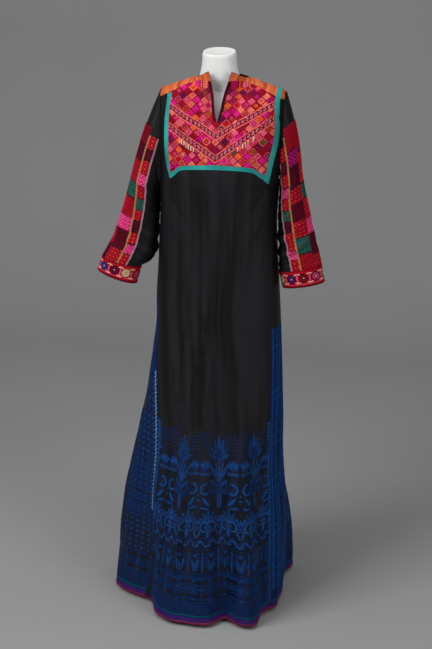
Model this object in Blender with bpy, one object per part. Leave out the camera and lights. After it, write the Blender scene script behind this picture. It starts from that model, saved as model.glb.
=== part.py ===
"""A thobe, the long embroidered dress of Palestine, on a limbless dress form.

Metres, +Z up.  The stand's base rests on Z = 0 with its centre at the origin, the dress
faces -Y, and "left" is the side at -X.  Each sewn piece of the dress is a cloth wall of
its own: a grid of points on one shared surface, given a thickness along the normals, so
that pieces meet 0.3 mm apart at their seams and trims lie just outside what they trim.
"""
import functools
import math

import bpy
import numpy as np

# ---------------------------------------------------------------- driving sizes
SEAM_GAP = 0.0003
CLOTH = (0.0, 0.0014)          # inner and outer face of the ground cloth, off the surface
TRIM = (0.0018, 0.0031)        # the same for what is sewn on it
TRIM_OVER = (0.0035, 0.0048)   # and for trim that crosses another trim
CUFF_WALL = (0.0, 0.0022)

HEM_HEIGHT = 0.010
HEM_TAPE_TOP = 0.018
UNDERARM_HEIGHT = 1.245
SLIT_BOTTOM = 0.396            # rows above the underarm count 0 to 1 up to the shoulder
YOKE_APPROACH = 0.030          # the last row of the chest panel, below the yoke's edge
FRONT_DIRECTION = 90.0         # degrees, 0 at +X, through -Y
BACK_DIRECTION = 270.0
CHEST_FULLNESS = 0.014

# Horizontal sections of the dress below the arms: how far it reaches from the axis, and
# the exponent that squares its outline.
SECTION_COLUMNS = ("height", "left", "right", "front", "back", "square")
SECTIONS = (
    (0.010, 0.302, 0.184, 0.238, 0.262, 2.0),
    (0.120, 0.292, 0.194, 0.230, 0.250, 2.0),
    (0.232, 0.285, 0.194, 0.218, 0.237, 2.0),
    (0.344, 0.270, 0.185, 0.203, 0.220, 2.0),
    (0.432, 0.251, 0.179, 0.189, 0.205, 2.0),
    (0.537, 0.228, 0.178, 0.169, 0.186, 2.05),
    (0.640, 0.206, 0.177, 0.153, 0.168, 2.1),
    (0.706, 0.196, 0.176, 0.144, 0.159, 2.15),
    (0.763, 0.187, 0.175, 0.137, 0.153, 2.2),
    (0.840, 0.1765, 0.172, 0.130, 0.144, 2.25),
    (0.930, 0.174, 0.168, 0.124, 0.130, 2.3),
    (1.030, 0.168, 0.162, 0.120, 0.113, 2.35),
    (1.140, 0.163, 0.159, 0.119, 0.100, 2.4),
    (1.245, 0.158, 0.165, 0.122, 0.105, 2.5),
)

# The directions of the four seams between front, side gores and back.
SEAM_COLUMNS = ("height", "front_left", "front_right", "back_left", "back_right")
SEAMS = (
    (0.010, 155.0, 36.0, 207.0, -30.0),
    (0.120, 149.0, 37.0, 206.0, -28.0),
    (0.270, 144.0, 35.0, 204.0, -26.0),
    (0.430, 143.0, 31.0, 203.0, -24.0),
    (0.700, 153.0, 26.0, 201.0, -22.0),
    (0.900, 163.0, 23.0, 200.0, -21.0),
    (1.245, 165.0, 15.0, 197.0, -18.0),
)

# Soft folds, each with its direction at the hem, its direction at its top, half its width
# in degrees, how far it stands out at the hem, and the height at which it dies away.
FOLDS = (
    (62.0, 66.0, 15.0, 0.044, 0.90),
    (79.0, 89.0, 12.0, -0.031, 1.16),
    (98.0, 101.0, 17.0, 0.012, 1.20),
    (114.0, 107.0, 11.0, 0.012, 1.00),
    (150.0, 150.0, 29.0, -0.062, 0.78),
    (182.0, 182.0, 14.0, 0.008, 0.60),
    (30.0, 30.0, 12.0, 0.010, 0.60),
    (-24.0, -24.0, 15.0, -0.026, 0.66),
    (-46.0, -44.0, 17.0, 0.064, 0.62),
    (-68.0, -66.0, 13.0, -0.022, 0.85),
    (-90.0, -88.0, 14.0, 0.016, 0.95),
    (-113.0, -110.0, 14.0, -0.024, 0.90),
    (-136.0, -134.0, 15.0, 0.018, 0.80),
    (-160.0, -158.0, 14.0, -0.016, 0.70),
)

# The front above the arms, row by row: the armhole edges, half the neck slit, and the
# middle of the chest, which hangs a little to the wearer's left.
CHEST_COLUMNS = ("row", "left_edge", "right_edge", "middle")
CHEST = (
    (0.00, 0.1520, 0.1590, 0.000),
    (0.20, 0.1535, 0.1640, 0.004),
    (0.45, 0.1540, 0.1700, 0.007),
    (0.75, 0.1550, 0.1760, 0.010),
    (1.00, 0.1570, 0.1800, 0.010),
)
SLIT_COLUMNS = ("row", "half_width")
SLIT = (
    (0.396, 0.0010),
    (0.470, 0.0070),
    (0.580, 0.0125),
    (0.725, 0.0215),
    (0.860, 0.0275),
    (1.000, 0.0320),
)

# The line where front and back end: shoulder seams, and the raised neck edge.
TOP_COLUMNS = ("across", "front_z", "back_z", "front_y", "back_y", "standing")
TOP_LINE = (
    (0.000, 1.5560, 1.5320, -0.0600, 0.0580, 1.0),
    (0.032, 1.5520, 1.5315, -0.0570, 0.0520, 1.0),
    (0.050, 1.5420, 1.5305, -0.0420, 0.0360, 0.9),
    (0.066, 1.5310, 1.5295, -0.0120, 0.0120, 0.5),
    (0.076, 1.5270, 1.5270, 0.0000, 0.0000, 0.2),
    (0.100, 1.5190, 1.5190, 0.0000, 0.0000, 0.0),
    (0.170, 1.4940, 1.4940, 0.0000, 0.0000, 0.0),
    (0.200, 1.4830, 1.4830, 0.0000, 0.0000, 0.0),
)

# The chest panel and its ribbon, as shares of the way from the slit to the armhole.
PANEL_COLUMNS = ("row", "left_inner", "left_outer", "right_inner", "right_outer")
PANEL_SIDES = (
    (0.00, 0.735, 0.765, 0.775, 0.845),
    (0.06, 0.755, 0.790, 0.790, 0.865),
    (0.14, 0.785, 0.845, 0.818, 0.895),
    (0.40, 0.820, 0.895, 0.895, 0.965),
    (0.725, 0.770, 0.850, 0.855, 0.935),
    (1.00, 0.760, 0.845, 0.855, 0.935),
)
BOTTOM_COLUMNS = ("share", "left_outer", "left_inner", "right_outer", "right_inner")
PANEL_BOTTOM = (
    (0.00, 0.112, 0.139, 0.112, 0.139),
    (0.35, 0.118, 0.145, 0.118, 0.145),
    (0.58, 0.112, 0.141, 0.112, 0.141),
    (0.76, 0.058, 0.094, 0.066, 0.100),
    (0.87, 0.050, 0.090, 0.028, 0.085),
    (1.00, 0.050, 0.090, 0.028, 0.085),
)

# The row at which the silk yoke begins, by the share of the way from slit to armhole.
YOKE_COLUMNS = ("share", "row")
YOKE_EDGE = (
    (0.00, 0.740),
    (0.15, 0.810),
    (0.40, 0.845),
    (0.75, 0.795),
    (1.00, 0.755),
)

# Sleeve rings, square to the arm: outer and inner line, and half the tube's thickness.
RING_COLUMNS = ("outer_x", "outer_z", "inner_x", "inner_z", "half_depth")
SLEEVE_LEFT = (
    (-0.2400, 1.258, -0.1645, 1.225, 0.052),
    (-0.2520, 1.215, -0.1660, 1.188, 0.046),
    (-0.2650, 1.170, -0.1685, 1.143, 0.042),
    (-0.2800, 1.122, -0.1715, 1.094, 0.039),
    (-0.2960, 1.080, -0.1760, 1.048, 0.037),
    (-0.3140, 1.046, -0.1900, 1.016, 0.036),
    (-0.3290, 1.020, -0.2230, 0.995, 0.036),
)
SLEEVE_RIGHT = (
    (0.2250, 1.270, 0.1690, 1.226, 0.052),
    (0.2345, 1.222, 0.1665, 1.188, 0.046),
    (0.2460, 1.172, 0.1650, 1.144, 0.042),
    (0.2570, 1.122, 0.1660, 1.096, 0.039),
    (0.2680, 1.076, 0.1680, 1.054, 0.037),
    (0.2770, 1.044, 0.1685, 1.022, 0.036),
    (0.2830, 1.016, 0.1695, 0.996, 0.036),
)
CUFF_LEFT = ((-0.3300, 1.0190, -0.2230, 0.9940, 0.037), (-0.3430, 0.9800, -0.2370, 0.9440, 0.038))
CUFF_RIGHT = ((0.2840, 1.0150, 0.1695, 0.9950, 0.037), (0.2930, 0.9680, 0.1810, 0.9490, 0.038))
SLEEVE_Y = -0.004
CAP_BULGE = 0.008
ARMHOLE_GAP = 0.0018
UNDERARM_STANDOFF = 0.0105
FRONT_EDGE_SHARE = 0.84        # of half the armhole, the rest is the gore's top edge

# The patchwork on a sleeve, measured around it from the middle of the patchwork.
PATCH_WIDE = 0.038
PATCH_GOLD = 0.0045
PATCH_NARROW = 0.021
PATCH_SILVER = 0.0045
PATCH_MIDDLE = {"left": (0.015, 0.025), "right": (0.028, 0.029)}   # at the first ring, at the cuff
WIDE_START = 0.150             # above the first ring, along the arm
NARROW_START = 0.130

# The dress form, section by section: height, middle across, half width and half depth.
FORM_TORSO = (
    (0.8000, 0.000, 0.1300, 0.0840),
    (0.8040, 0.000, 0.1430, 0.0950),
    (0.8200, 0.000, 0.1490, 0.1000),
    (0.9000, 0.000, 0.1530, 0.1020),
    (1.0000, 0.000, 0.1480, 0.0980),
    (1.1000, 0.000, 0.1390, 0.0900),
    (1.1800, 0.000, 0.1400, 0.0880),
    (1.2600, 0.002, 0.1440, 0.0920),
    (1.3400, 0.006, 0.1450, 0.0920),
    (1.4000, 0.008, 0.1460, 0.0830),
    (1.4400, 0.010, 0.1470, 0.0690),
    (1.4680, 0.010, 0.1450, 0.0550),
    (1.4860, 0.010, 0.1340, 0.0440),
    (1.4980, 0.009, 0.1100, 0.0390),
    (1.5080, 0.006, 0.0830, 0.0390),
    (1.5170, 0.003, 0.0640, 0.0405),
    (1.5300, 0.001, 0.0555, 0.0430),
    (1.5470, 0.000, 0.0505, 0.0430),
    (1.5630, 0.000, 0.0475, 0.0430),
    (1.5920, 0.000, 0.0455, 0.0425),
)
NECK_TILT = math.tan(math.radians(8.0))
NECK_TILT_START = 1.55
NECK_CAP_THICKNESS = 0.006
NECK_CAP_INSET = 0.0012
FORM_SQUARE = 2.2
POLE_RADIUS = 0.0125
BASE_RADIUS = 0.125
BASE_THICKNESS = 0.010
BASE_HUB_RADIUS = 0.030
BASE_HUB_TOP = 0.034

COLOURS = {
    "black": ((0.012, 0.011, 0.014), 0.75, 0.0),
    "blue": ((0.008, 0.053, 0.262), 0.7, 0.0),
    "chest": ((0.45, 0.02, 0.10), 0.7, 0.0),
    "turquoise": ((0.022, 0.479, 0.451), 0.45, 0.0),
    "orange": ((0.91, 0.16, 0.022), 0.4, 0.0),
    "red": ((0.50, 0.01, 0.02), 0.7, 0.0),
    "gold": ((0.50, 0.26, 0.08), 0.45, 0.0),
    "silver": ((0.65, 0.45, 0.47), 0.45, 0.0),
    "magenta": ((0.50, 0.02, 0.13), 0.5, 0.0),
    "white": ((0.80, 0.80, 0.79), 0.5, 0.0),
    "steel": ((0.55, 0.55, 0.56), 0.35, 1.0),
    "base": ((0.60, 0.60, 0.60), 0.4, 0.0),
}


# ---------------------------------------------------------------- tables
def curve(rows, columns, name, at):
    """One column of a table, read smoothly between its rows."""
    at = np.asarray(at, float)
    known = np.array([row[0] for row in rows])
    values = np.array([row[columns.index(name)] for row in rows])
    steps = np.diff(values) / np.diff(known)
    slopes = np.concatenate(([steps[0]], (steps[:-1] + steps[1:]) / 2, [steps[-1]]))
    flat = steps[:-1] * steps[1:] <= 0
    slopes[1:-1][flat] = 0.0
    limit = 3 * np.minimum(np.abs(np.append(steps, steps[-1])), np.abs(np.insert(steps, 0, steps[0])))
    slopes = np.clip(slopes, -limit, limit)
    at = np.clip(at, known[0], known[-1])
    cell = np.clip(np.searchsorted(known, at, side="right") - 1, 0, len(known) - 2)
    width = known[cell + 1] - known[cell]
    t = (at - known[cell]) / width
    return (values[cell] * (2 * t**3 - 3 * t**2 + 1) + slopes[cell] * width * (t**3 - 2 * t**2 + t)
            + values[cell + 1] * (3 * t**2 - 2 * t**3) + slopes[cell + 1] * width * (t**3 - t**2))


def smooth(t):
    t = np.clip(t, 0.0, 1.0)
    return t * t * (3 - 2 * t)


# ---------------------------------------------------------------- the dress below the arms
def skirt_point(direction, height):
    """The dress surface in one direction from the axis, at one height."""
    angle = np.radians(direction)
    cosine, sine = np.cos(angle), np.sin(angle)
    reach = {name: curve(SECTIONS, SECTION_COLUMNS, name, height) for name in SECTION_COLUMNS[1:]}
    across = np.where(cosine > 0, reach["right"], reach["left"])
    along = np.where(sine > 0, reach["front"], reach["back"])
    power = reach["square"]
    radius = ((np.abs(cosine) / across)**power + (np.abs(sine) / along)**power)**(-1 / power)
    for at_hem, at_top, half_width, depth, top in FOLDS:
        rise = np.clip((height - HEM_HEIGHT) / (top - HEM_HEIGHT), 0, 1)
        away = np.asarray(direction) - (at_hem + (at_top - at_hem) * rise)
        away = (away + 180) % 360 - 180
        bump = np.cos(np.clip(np.abs(away) / half_width, 0, 1) * math.pi / 2)**2
        radius = radius + depth * bump * (1 - smooth(rise)) * (1 - rise * 0.3)
    return np.stack([radius * cosine, -radius * sine, height + 0 * radius], -1)


def seam_direction(name, height):
    return curve(SEAMS, SEAM_COLUMNS, name, height)


@functools.lru_cache(maxsize=None)
def underarm_reach(face, side):
    """Directions from the middle to a side seam at the underarm, with how far each reaches."""
    middle = FRONT_DIRECTION if face == "front" else BACK_DIRECTION
    seam = float(seam_direction(face + ("_left" if side < 0 else "_right"), UNDERARM_HEIGHT))
    if face == "back" and side > 0:
        seam += 360
    trial = np.linspace(middle, seam, 61)
    reach = np.abs(skirt_point(trial, np.full(61, UNDERARM_HEIGHT))[:, 0])
    return trial, reach / reach[-1], reach[-1]


def direction_at_share(share, face):
    """The direction at the underarm that lies this share of the way to a side seam."""
    share = np.asarray(share, float)
    result = np.full(share.shape, FRONT_DIRECTION if face == "front" else BACK_DIRECTION)
    for side in (-1, 1):
        trial, reach, _ = underarm_reach(face, side)
        result = np.where(np.sign(share) == side, np.interp(np.abs(share), reach, trial), result)
    return result


def lower_point(share, height, face):
    """Front or back below the arms, by the share of the way from its middle to its seams."""
    share, height = np.broadcast_arrays(np.asarray(share, float), np.asarray(height, float))
    middle = FRONT_DIRECTION if face == "front" else BACK_DIRECTION
    start = direction_at_share(share, face)
    direction = np.full(share.shape, middle)
    for side in (-1, 1):
        name = face + ("_left" if side < 0 else "_right")
        seam_now = seam_direction(name, height)
        seam_top = float(seam_direction(name, UNDERARM_HEIGHT))
        if face == "back" and side > 0:
            seam_now = seam_now + 360
            seam_top += 360
        fraction = (start - middle) / (seam_top - middle)
        direction = np.where(np.sign(share) == side, middle + (seam_now - middle) * fraction, direction)
    return skirt_point(direction, height)


# ---------------------------------------------------------------- the dress above the arms
def upper_point(share, row, face, side):
    """Front or back above the arms; side is -1 or +1, and row runs 0 to 1 up the cloth."""
    share, row = np.broadcast_arrays(np.abs(np.asarray(share, float)), np.asarray(row, float))
    base = lower_point(share * side, np.full(share.shape, UNDERARM_HEIGHT), face)
    edge_name = "left_edge" if side < 0 else "right_edge"

    def across_at(rows):
        middle = curve(CHEST, CHEST_COLUMNS, "middle", rows)
        reach = curve(CHEST, CHEST_COLUMNS, edge_name, rows)
        reach = reach + (underarm_reach(face, side)[2] - CHEST[0][1]) * (1 - smooth(rows))
        reach = reach - side * middle
        slit = curve(SLIT, SLIT_COLUMNS, "half_width", rows) if face == "front" else 0.0
        slit = np.where(rows < SLIT_BOTTOM - 1e-6, 0.0, slit)
        return middle, slit + (reach - slit) * share

    middle, offset = across_at(row)
    top_middle, top_offset = across_at(np.ones(row.shape))
    x = middle + side * offset
    top_z = curve(TOP_LINE, TOP_COLUMNS, face + "_z", top_offset)
    top_y = curve(TOP_LINE, TOP_COLUMNS, face + "_y", top_offset)
    standing = curve(TOP_LINE, TOP_COLUMNS, "standing", top_offset)
    turn = row * math.pi / 2
    power = 0.85 + 1.15 * standing
    z = UNDERARM_HEIGHT + (top_z - UNDERARM_HEIGHT) * np.sin(turn)
    y = top_y + (base[..., 1] - top_y) * np.maximum(np.cos(turn), 0.0)**power
    outward = -1 if face == "front" else 1
    y = y + outward * CHEST_FULLNESS * share**2 * np.sin(math.pi * row)
    y = y + np.where(row > 0.999, outward * SEAM_GAP / 2, 0.0)
    return np.stack([x, y, z], -1)


def dress_point(share, level, face, side):
    """Level 0 to 1 runs from hem to underarm, 1 to 2 on up to the shoulder."""
    height = HEM_HEIGHT + np.clip(level, 0, 1) * (UNDERARM_HEIGHT - HEM_HEIGHT)
    low = lower_point(np.abs(share) * side, height, face)
    high = upper_point(share, np.clip(level - 1, 0, 1), face, side)
    return np.where(np.asarray(level)[..., None] <= 1, low, high)


# ---------------------------------------------------------------- sleeves
def armhole_point(side, around):
    """The armhole edge: around 0 at the shoulder, 0.5 at the front of the underarm, 1 back."""
    around = np.asarray(around, float) % 1.0
    half = np.where(around <= 0.5, around, 1 - around) * 2
    climb = np.clip(1 - half / FRONT_EDGE_SHARE, 0, 1)
    inward = np.clip((half - FRONT_EDGE_SHARE) / (1 - FRONT_EDGE_SHARE), 0, 1)
    sign = -1 if side == "left" else 1
    points = []
    for face in ("front", "back"):
        edge = upper_point(np.ones(half.shape), climb, face, sign)
        corner = upper_point(np.ones(half.shape), np.zeros(half.shape), face, sign)
        under = skirt_point(np.full(half.shape, 180.0 if sign < 0 else 0.0),
                            np.full(half.shape, UNDERARM_HEIGHT))
        along = corner + (under - corner) * inward[..., None]
        along[..., 0] += sign * 0.004 * np.sin(math.pi / 2 * inward)
        points.append(np.where(inward[..., None] > 0, along, edge))
    return np.where((around <= 0.5)[..., None], points[0], points[1])


def ring_point(rows, at, around):
    """A point on the sleeve's rings, between the rows of their table."""
    index = np.arange(len(rows), dtype=float)
    table = [(i,) + row for i, row in zip(index, rows)]
    columns = ("ring",) + RING_COLUMNS
    value = {name: curve(table, columns, name, at) for name in RING_COLUMNS}
    angle = np.asarray(around, float) * 2 * math.pi
    reach = np.sign(np.cos(angle)) * np.abs(np.cos(angle))**0.95
    depth = np.sign(np.sin(angle)) * np.abs(np.sin(angle))**0.95
    x = (value["outer_x"] + value["inner_x"]) / 2 + (value["outer_x"] - value["inner_x"]) / 2 * reach
    z = (value["outer_z"] + value["inner_z"]) / 2 + (value["outer_z"] - value["inner_z"]) / 2 * reach
    y = SLEEVE_Y - value["half_depth"] * depth
    return np.stack([x, y, z], -1)


def sleeve_point(side, around, along):
    """Along 0 to 1 is the sleeve cap, from armhole to first ring; then one unit a ring."""
    rows = SLEEVE_LEFT if side == "left" else SLEEVE_RIGHT
    around, along = np.broadcast_arrays(np.asarray(around, float), np.asarray(along, float))
    sign = -1 if side == "left" else 1
    start = armhole_point(side, around)
    half = np.where(around % 1.0 <= 0.5, around % 1.0, 1 - around % 1.0) * 2
    standoff = ARMHOLE_GAP + UNDERARM_STANDOFF * smooth((half - FRONT_EDGE_SHARE) / 0.12)
    start[..., 0] += sign * standoff
    first = ring_point(rows, np.zeros(around.shape), around)
    t = np.clip(along, 0, 1)[..., None]
    bulge = np.sin(math.pi * t[..., 0]) * CAP_BULGE * np.clip(1 - half * 1.4, 0, 1)
    cap = start + (first - start) * t
    cap[..., 0] += sign * bulge
    below = ring_point(rows, np.clip(along - 1, 0, len(rows) - 1), around)
    return np.where((along <= 1)[..., None], cap, below)


def around_at(side, distance, ring):
    """Where a line runs that lies this far around the sleeve from its outer line."""
    rows = SLEEVE_LEFT if side == "left" else SLEEVE_RIGHT
    steps = np.linspace(0, 0.5, 81)
    outline = ring_point(rows, np.full(81, ring), steps)
    length = np.concatenate(([0], np.cumsum(np.linalg.norm(np.diff(outline, axis=0), axis=1))))
    share = np.interp(abs(distance), length, steps)
    return share if distance >= 0 else -share


def cap_start(side, around, distance):
    """How far along the sleeve cap a line is that lies this far above the first ring."""
    top = sleeve_point(side, np.array([around]), np.array([0.0]))
    foot = sleeve_point(side, np.array([around]), np.array([1.0]))
    return max(0.08, 1 - distance / float(np.linalg.norm(foot - top)))


# ---------------------------------------------------------------- walls
def wall(name, points, cells, offsets, material):
    """A cloth wall: points maps keys to (position, normal), cells lists quads of keys."""
    keys = sorted({key for cell in cells for key in cell})
    number = {key: index for index, key in enumerate(keys)}
    inner, outer = [], []
    for key in keys:
        place, normal = points[key][:2]
        low, high = points[key][2] if len(points[key]) > 2 else offsets
        inner.append(place + normal * low)
        outer.append(place + normal * high)
    count = len(keys)
    faces = []
    edges = {}
    for cell in cells:
        ids = [number[key] for key in cell]
        a, b, c, d = ids
        faces += [[a + count, b + count, c + count], [a + count, c + count, d + count]]
        faces += [[c, b, a], [d, c, a]]
        for a, b in zip(ids, ids[1:] + ids[:1]):
            edges[(a, b)] = edges.get((a, b), 0) + 1
    for a, b in edges:
        if (b, a) not in edges:
            faces += [[a, b, b + count], [a, b + count, a + count]]
    return solid(name, inner + outer, faces, material)


def solid(name, vertices, faces, material):
    mesh = bpy.data.meshes.new(name)
    mesh.from_pydata([tuple(float(c) for c in vertex) for vertex in vertices], [], faces)
    mesh.validate()
    mesh.shade_smooth()
    mesh.set_sharp_from_angle(angle=math.radians(50))
    mesh.materials.append(material)
    piece = bpy.data.objects.new(name, mesh)
    bpy.context.scene.collection.objects.link(piece)
    return piece


def with_normals(surface, u, v, outward, du=0.004, dv=0.004):
    """Points of a surface and their normals, on the side that outward says."""
    place = surface(u, v)
    along_u = surface(u + du, v) - surface(u - du, v)
    along_v = surface(u, v + dv) - surface(u, v - dv)
    normal = np.cross(along_u, along_v) * outward
    normal /= np.linalg.norm(normal, axis=-1, keepdims=True)
    return place, normal


def clean_material(name):
    colour, roughness, metallic = COLOURS[name]
    material = bpy.data.materials.new(name)
    material.use_nodes = True
    shader = material.node_tree.nodes["Principled BSDF"]
    shader.inputs["Base Color"].default_value = (*colour, 1.0)
    shader.inputs["Roughness"].default_value = roughness
    shader.inputs["Metallic"].default_value = metallic
    return material


# ---------------------------------------------------------------- the front and back grids
LOWER_LEVELS = [0.0, (HEM_TAPE_TOP - HEM_HEIGHT) / (UNDERARM_HEIGHT - HEM_HEIGHT)]
LOWER_LEVELS += [0.065 * step for step in range(1, 15)]
PANEL_CELLS = 7                # columns from the slit to the ribbon
CHEST_CELLS = 3                # rows from the panel's bottom to the slit's
THROAT_CELLS = 3               # rows from there to the yoke
YOKE_CELLS = 3
BACK_CELLS = 7                 # columns from the middle of the back to a side seam
BACK_ROWS = 9
GORE_CELLS = 5
CAP_LEVELS = 5                 # rows from the armhole to the sleeve's first ring
UNDERARM_CELLS = 5             # columns round the sleeve that the patchwork leaves free
CUFF_COLUMNS = 20


def front_rows(side, share):
    """The levels of the front's rows above the arms, at one share of its width."""
    name = "left" if side < 0 else "right"
    low = float(curve(PANEL_BOTTOM, BOTTOM_COLUMNS, name + "_outer", share))
    high = float(curve(PANEL_BOTTOM, BOTTOM_COLUMNS, name + "_inner", share))
    rows = [0.0, low]
    rows += list(np.linspace(high, SLIT_BOTTOM, CHEST_CELLS + 1))
    yoke = float(curve(YOKE_EDGE, YOKE_COLUMNS, "row", share))
    rows += list(np.linspace(SLIT_BOTTOM, yoke - YOKE_APPROACH, THROAT_CELLS)[1:])
    rows += list(np.linspace(yoke, 1.0, YOKE_CELLS + 1))
    return [1 + row for row in rows]


def front_shares(side, level):
    """The shares at which the front's columns cross one level, slit first."""
    name = "left" if side < 0 else "right"
    row = min(max(level - 1, 0), 1)
    inner = float(curve(PANEL_SIDES, PANEL_COLUMNS, name + "_inner", row))
    outer = float(curve(PANEL_SIDES, PANEL_COLUMNS, name + "_outer", row))
    shares = list(np.linspace(0, inner, PANEL_CELLS + 1)) + [outer, 1.0]
    even = list(np.linspace(0, 1, len(shares)))
    blend = float(smooth((1 - level) / 0.22))
    return [a + (b - a) * blend for a, b in zip(shares, even)]


def front_grid():
    """Every point of the front: key (row, column), columns negative on the left."""
    points = {}
    rows_above = len(front_rows(1, 0.0))
    split_row = len(LOWER_LEVELS) + 2 + CHEST_CELLS
    columns = PANEL_CELLS + 2
    for side in (-1, 1):
        for column in range(columns + 1):
            guess = front_shares(side, 1.4)[column]
            levels = list(LOWER_LEVELS)
            for index in range(rows_above):
                share = guess
                for _ in range(4):
                    level = front_rows(side, share)[index]
                    share = front_shares(side, level)[column]
                levels.append(level)
            shares = np.array([front_shares(side, level)[column] for level in levels])
            shares[-1:] = shares[-2:-1]
            place, normal = panel_normals(shares, np.array(levels), "front", side)
            if column == columns:
                low = len(LOWER_LEVELS)
                place[:low] = seam_inset(place, shares, levels, "front", side)[:low]
            for row in range(len(levels)):
                label = side * column if column else (0 if row <= split_row else side * 0.5)
                points[(row, label)] = (place[row], normal[row])
    return points, split_row


def panel_normals(shares, levels, face, side):
    """Points and outward normals of front or back along one column."""
    step = 0.01

    def at(share, level):
        return dress_point(share, level, face, side)

    inside = np.clip(shares, step, 1 - step)
    seam_or_middle = np.clip(levels, step, 1.94)
    seam_or_middle = np.where(np.abs(seam_or_middle - 1) < step, 1 - step * 1.01, seam_or_middle)
    across = at(inside + step, seam_or_middle) - at(inside - step, seam_or_middle)
    across[shares < step, 1] *= 0.3
    upward = at(inside, seam_or_middle + step) - at(inside, seam_or_middle - step)
    normal = np.cross(across, upward) * side * (1 if face == "front" else -1)
    normal /= np.linalg.norm(normal, axis=-1, keepdims=True)
    return at(shares, levels), normal


def seam_inset(place, shares, levels, face, side):
    """The outermost column, drawn in by half the gap between sewn pieces."""
    inner = dress_point(shares - 0.02, np.array(levels), face, side)
    away = inner - place
    away /= np.linalg.norm(away, axis=-1, keepdims=True)
    return place + away * SEAM_GAP / 2


def front_cells(points, rows, labels):
    """Quads between given rows and columns of the front, seen from outside."""
    cells = []
    for row in rows:
        for a, b in zip(labels, labels[1:]):
            cells.append(tuple(pick(points, r, c, a + b) for r, c in
                               ((row, a), (row, b), (row + 1, b), (row + 1, a))))
    return cells


def pick(points, row, label, side):
    """The key of a point, on the right side of the slit where the middle column splits."""
    if label == 0 and (row, 0) not in points:
        return (row, math.copysign(0.5, side))
    return (row, label)


def inset(points, cells, gap=SEAM_GAP / 2):
    """Draws the outline of a set of cells in by half a gap."""
    edges = {}
    for cell in cells:
        for a, b in zip(cell, cell[1:] + cell[:1]):
            edges[(a, b)] = cell
    moved = dict(points)
    shift = {}
    for (a, b), cell in edges.items():
        if (b, a) in edges:
            continue
        normal = points[a][1] + points[b][1]
        inward = np.cross(normal, points[b][0] - points[a][0])
        inward /= np.linalg.norm(inward)
        for key in (a, b):
            shift.setdefault(key, []).append(inward)
    for key, moves in shift.items():
        total = sum(moves)
        total = total / max(0.3, float(np.linalg.norm(total)))
        moved[key] = (points[key][0] + total * gap * 1.5,) + tuple(points[key][1:])
    return moved


def back_grid():
    """Every point of the back: key (row, column), columns negative on the left."""
    points = {}
    levels = list(LOWER_LEVELS) + [1 + row for row in np.linspace(0, 1, BACK_ROWS)]
    for side in (-1, 1):
        for column in range(BACK_CELLS + 1):
            share = np.full(len(levels), column / BACK_CELLS)
            place, normal = panel_normals(share, np.array(levels), "back", side)
            if column == BACK_CELLS:
                low = len(LOWER_LEVELS)
                place[:low] = seam_inset(place, share, levels, "back", side)[:low]
            for row in range(len(levels)):
                points[(row, side * column)] = (place[row], normal[row])
    return points


def gore_grid(side):
    """The side gore: key (row, column) from its front seam to its back seam."""
    points = {}
    levels = np.array(list(LOWER_LEVELS) + [1.0])
    heights = HEM_HEIGHT + levels * (UNDERARM_HEIGHT - HEM_HEIGHT)
    front = seam_direction("front_" + side, heights)
    back = seam_direction("back_" + side, heights)
    for column in range(GORE_CELLS + 1):
        direction = front + (back - front) * column / GORE_CELLS
        radius = np.linalg.norm(skirt_point(direction, heights)[:, :2], axis=1)
        towards = np.sign(back - front)
        if column == 0:
            direction = direction + towards * np.degrees(SEAM_GAP / 2 / radius)
        if column == GORE_CELLS:
            direction = direction - towards * np.degrees(SEAM_GAP / 2 / radius)
        place = skirt_point(direction, heights)
        turned = skirt_point(direction + 1, heights) - skirt_point(direction - 1, heights)
        raised = skirt_point(direction, heights + 0.01) - skirt_point(direction, heights - 0.01)
        normal = np.cross(raised, turned)
        normal /= np.linalg.norm(normal, axis=-1, keepdims=True)
        for row in range(len(levels)):
            points[(row, column)] = (place[row], normal[row])
    return points


def grid_cells(rows, columns, flip=False):
    cells = []
    for row in rows:
        for a, b in zip(columns, columns[1:]):
            cell = ((row, a), (row, b), (row + 1, b), (row + 1, a))
            cells.append(cell[::-1] if flip else cell)
    return cells


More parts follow.
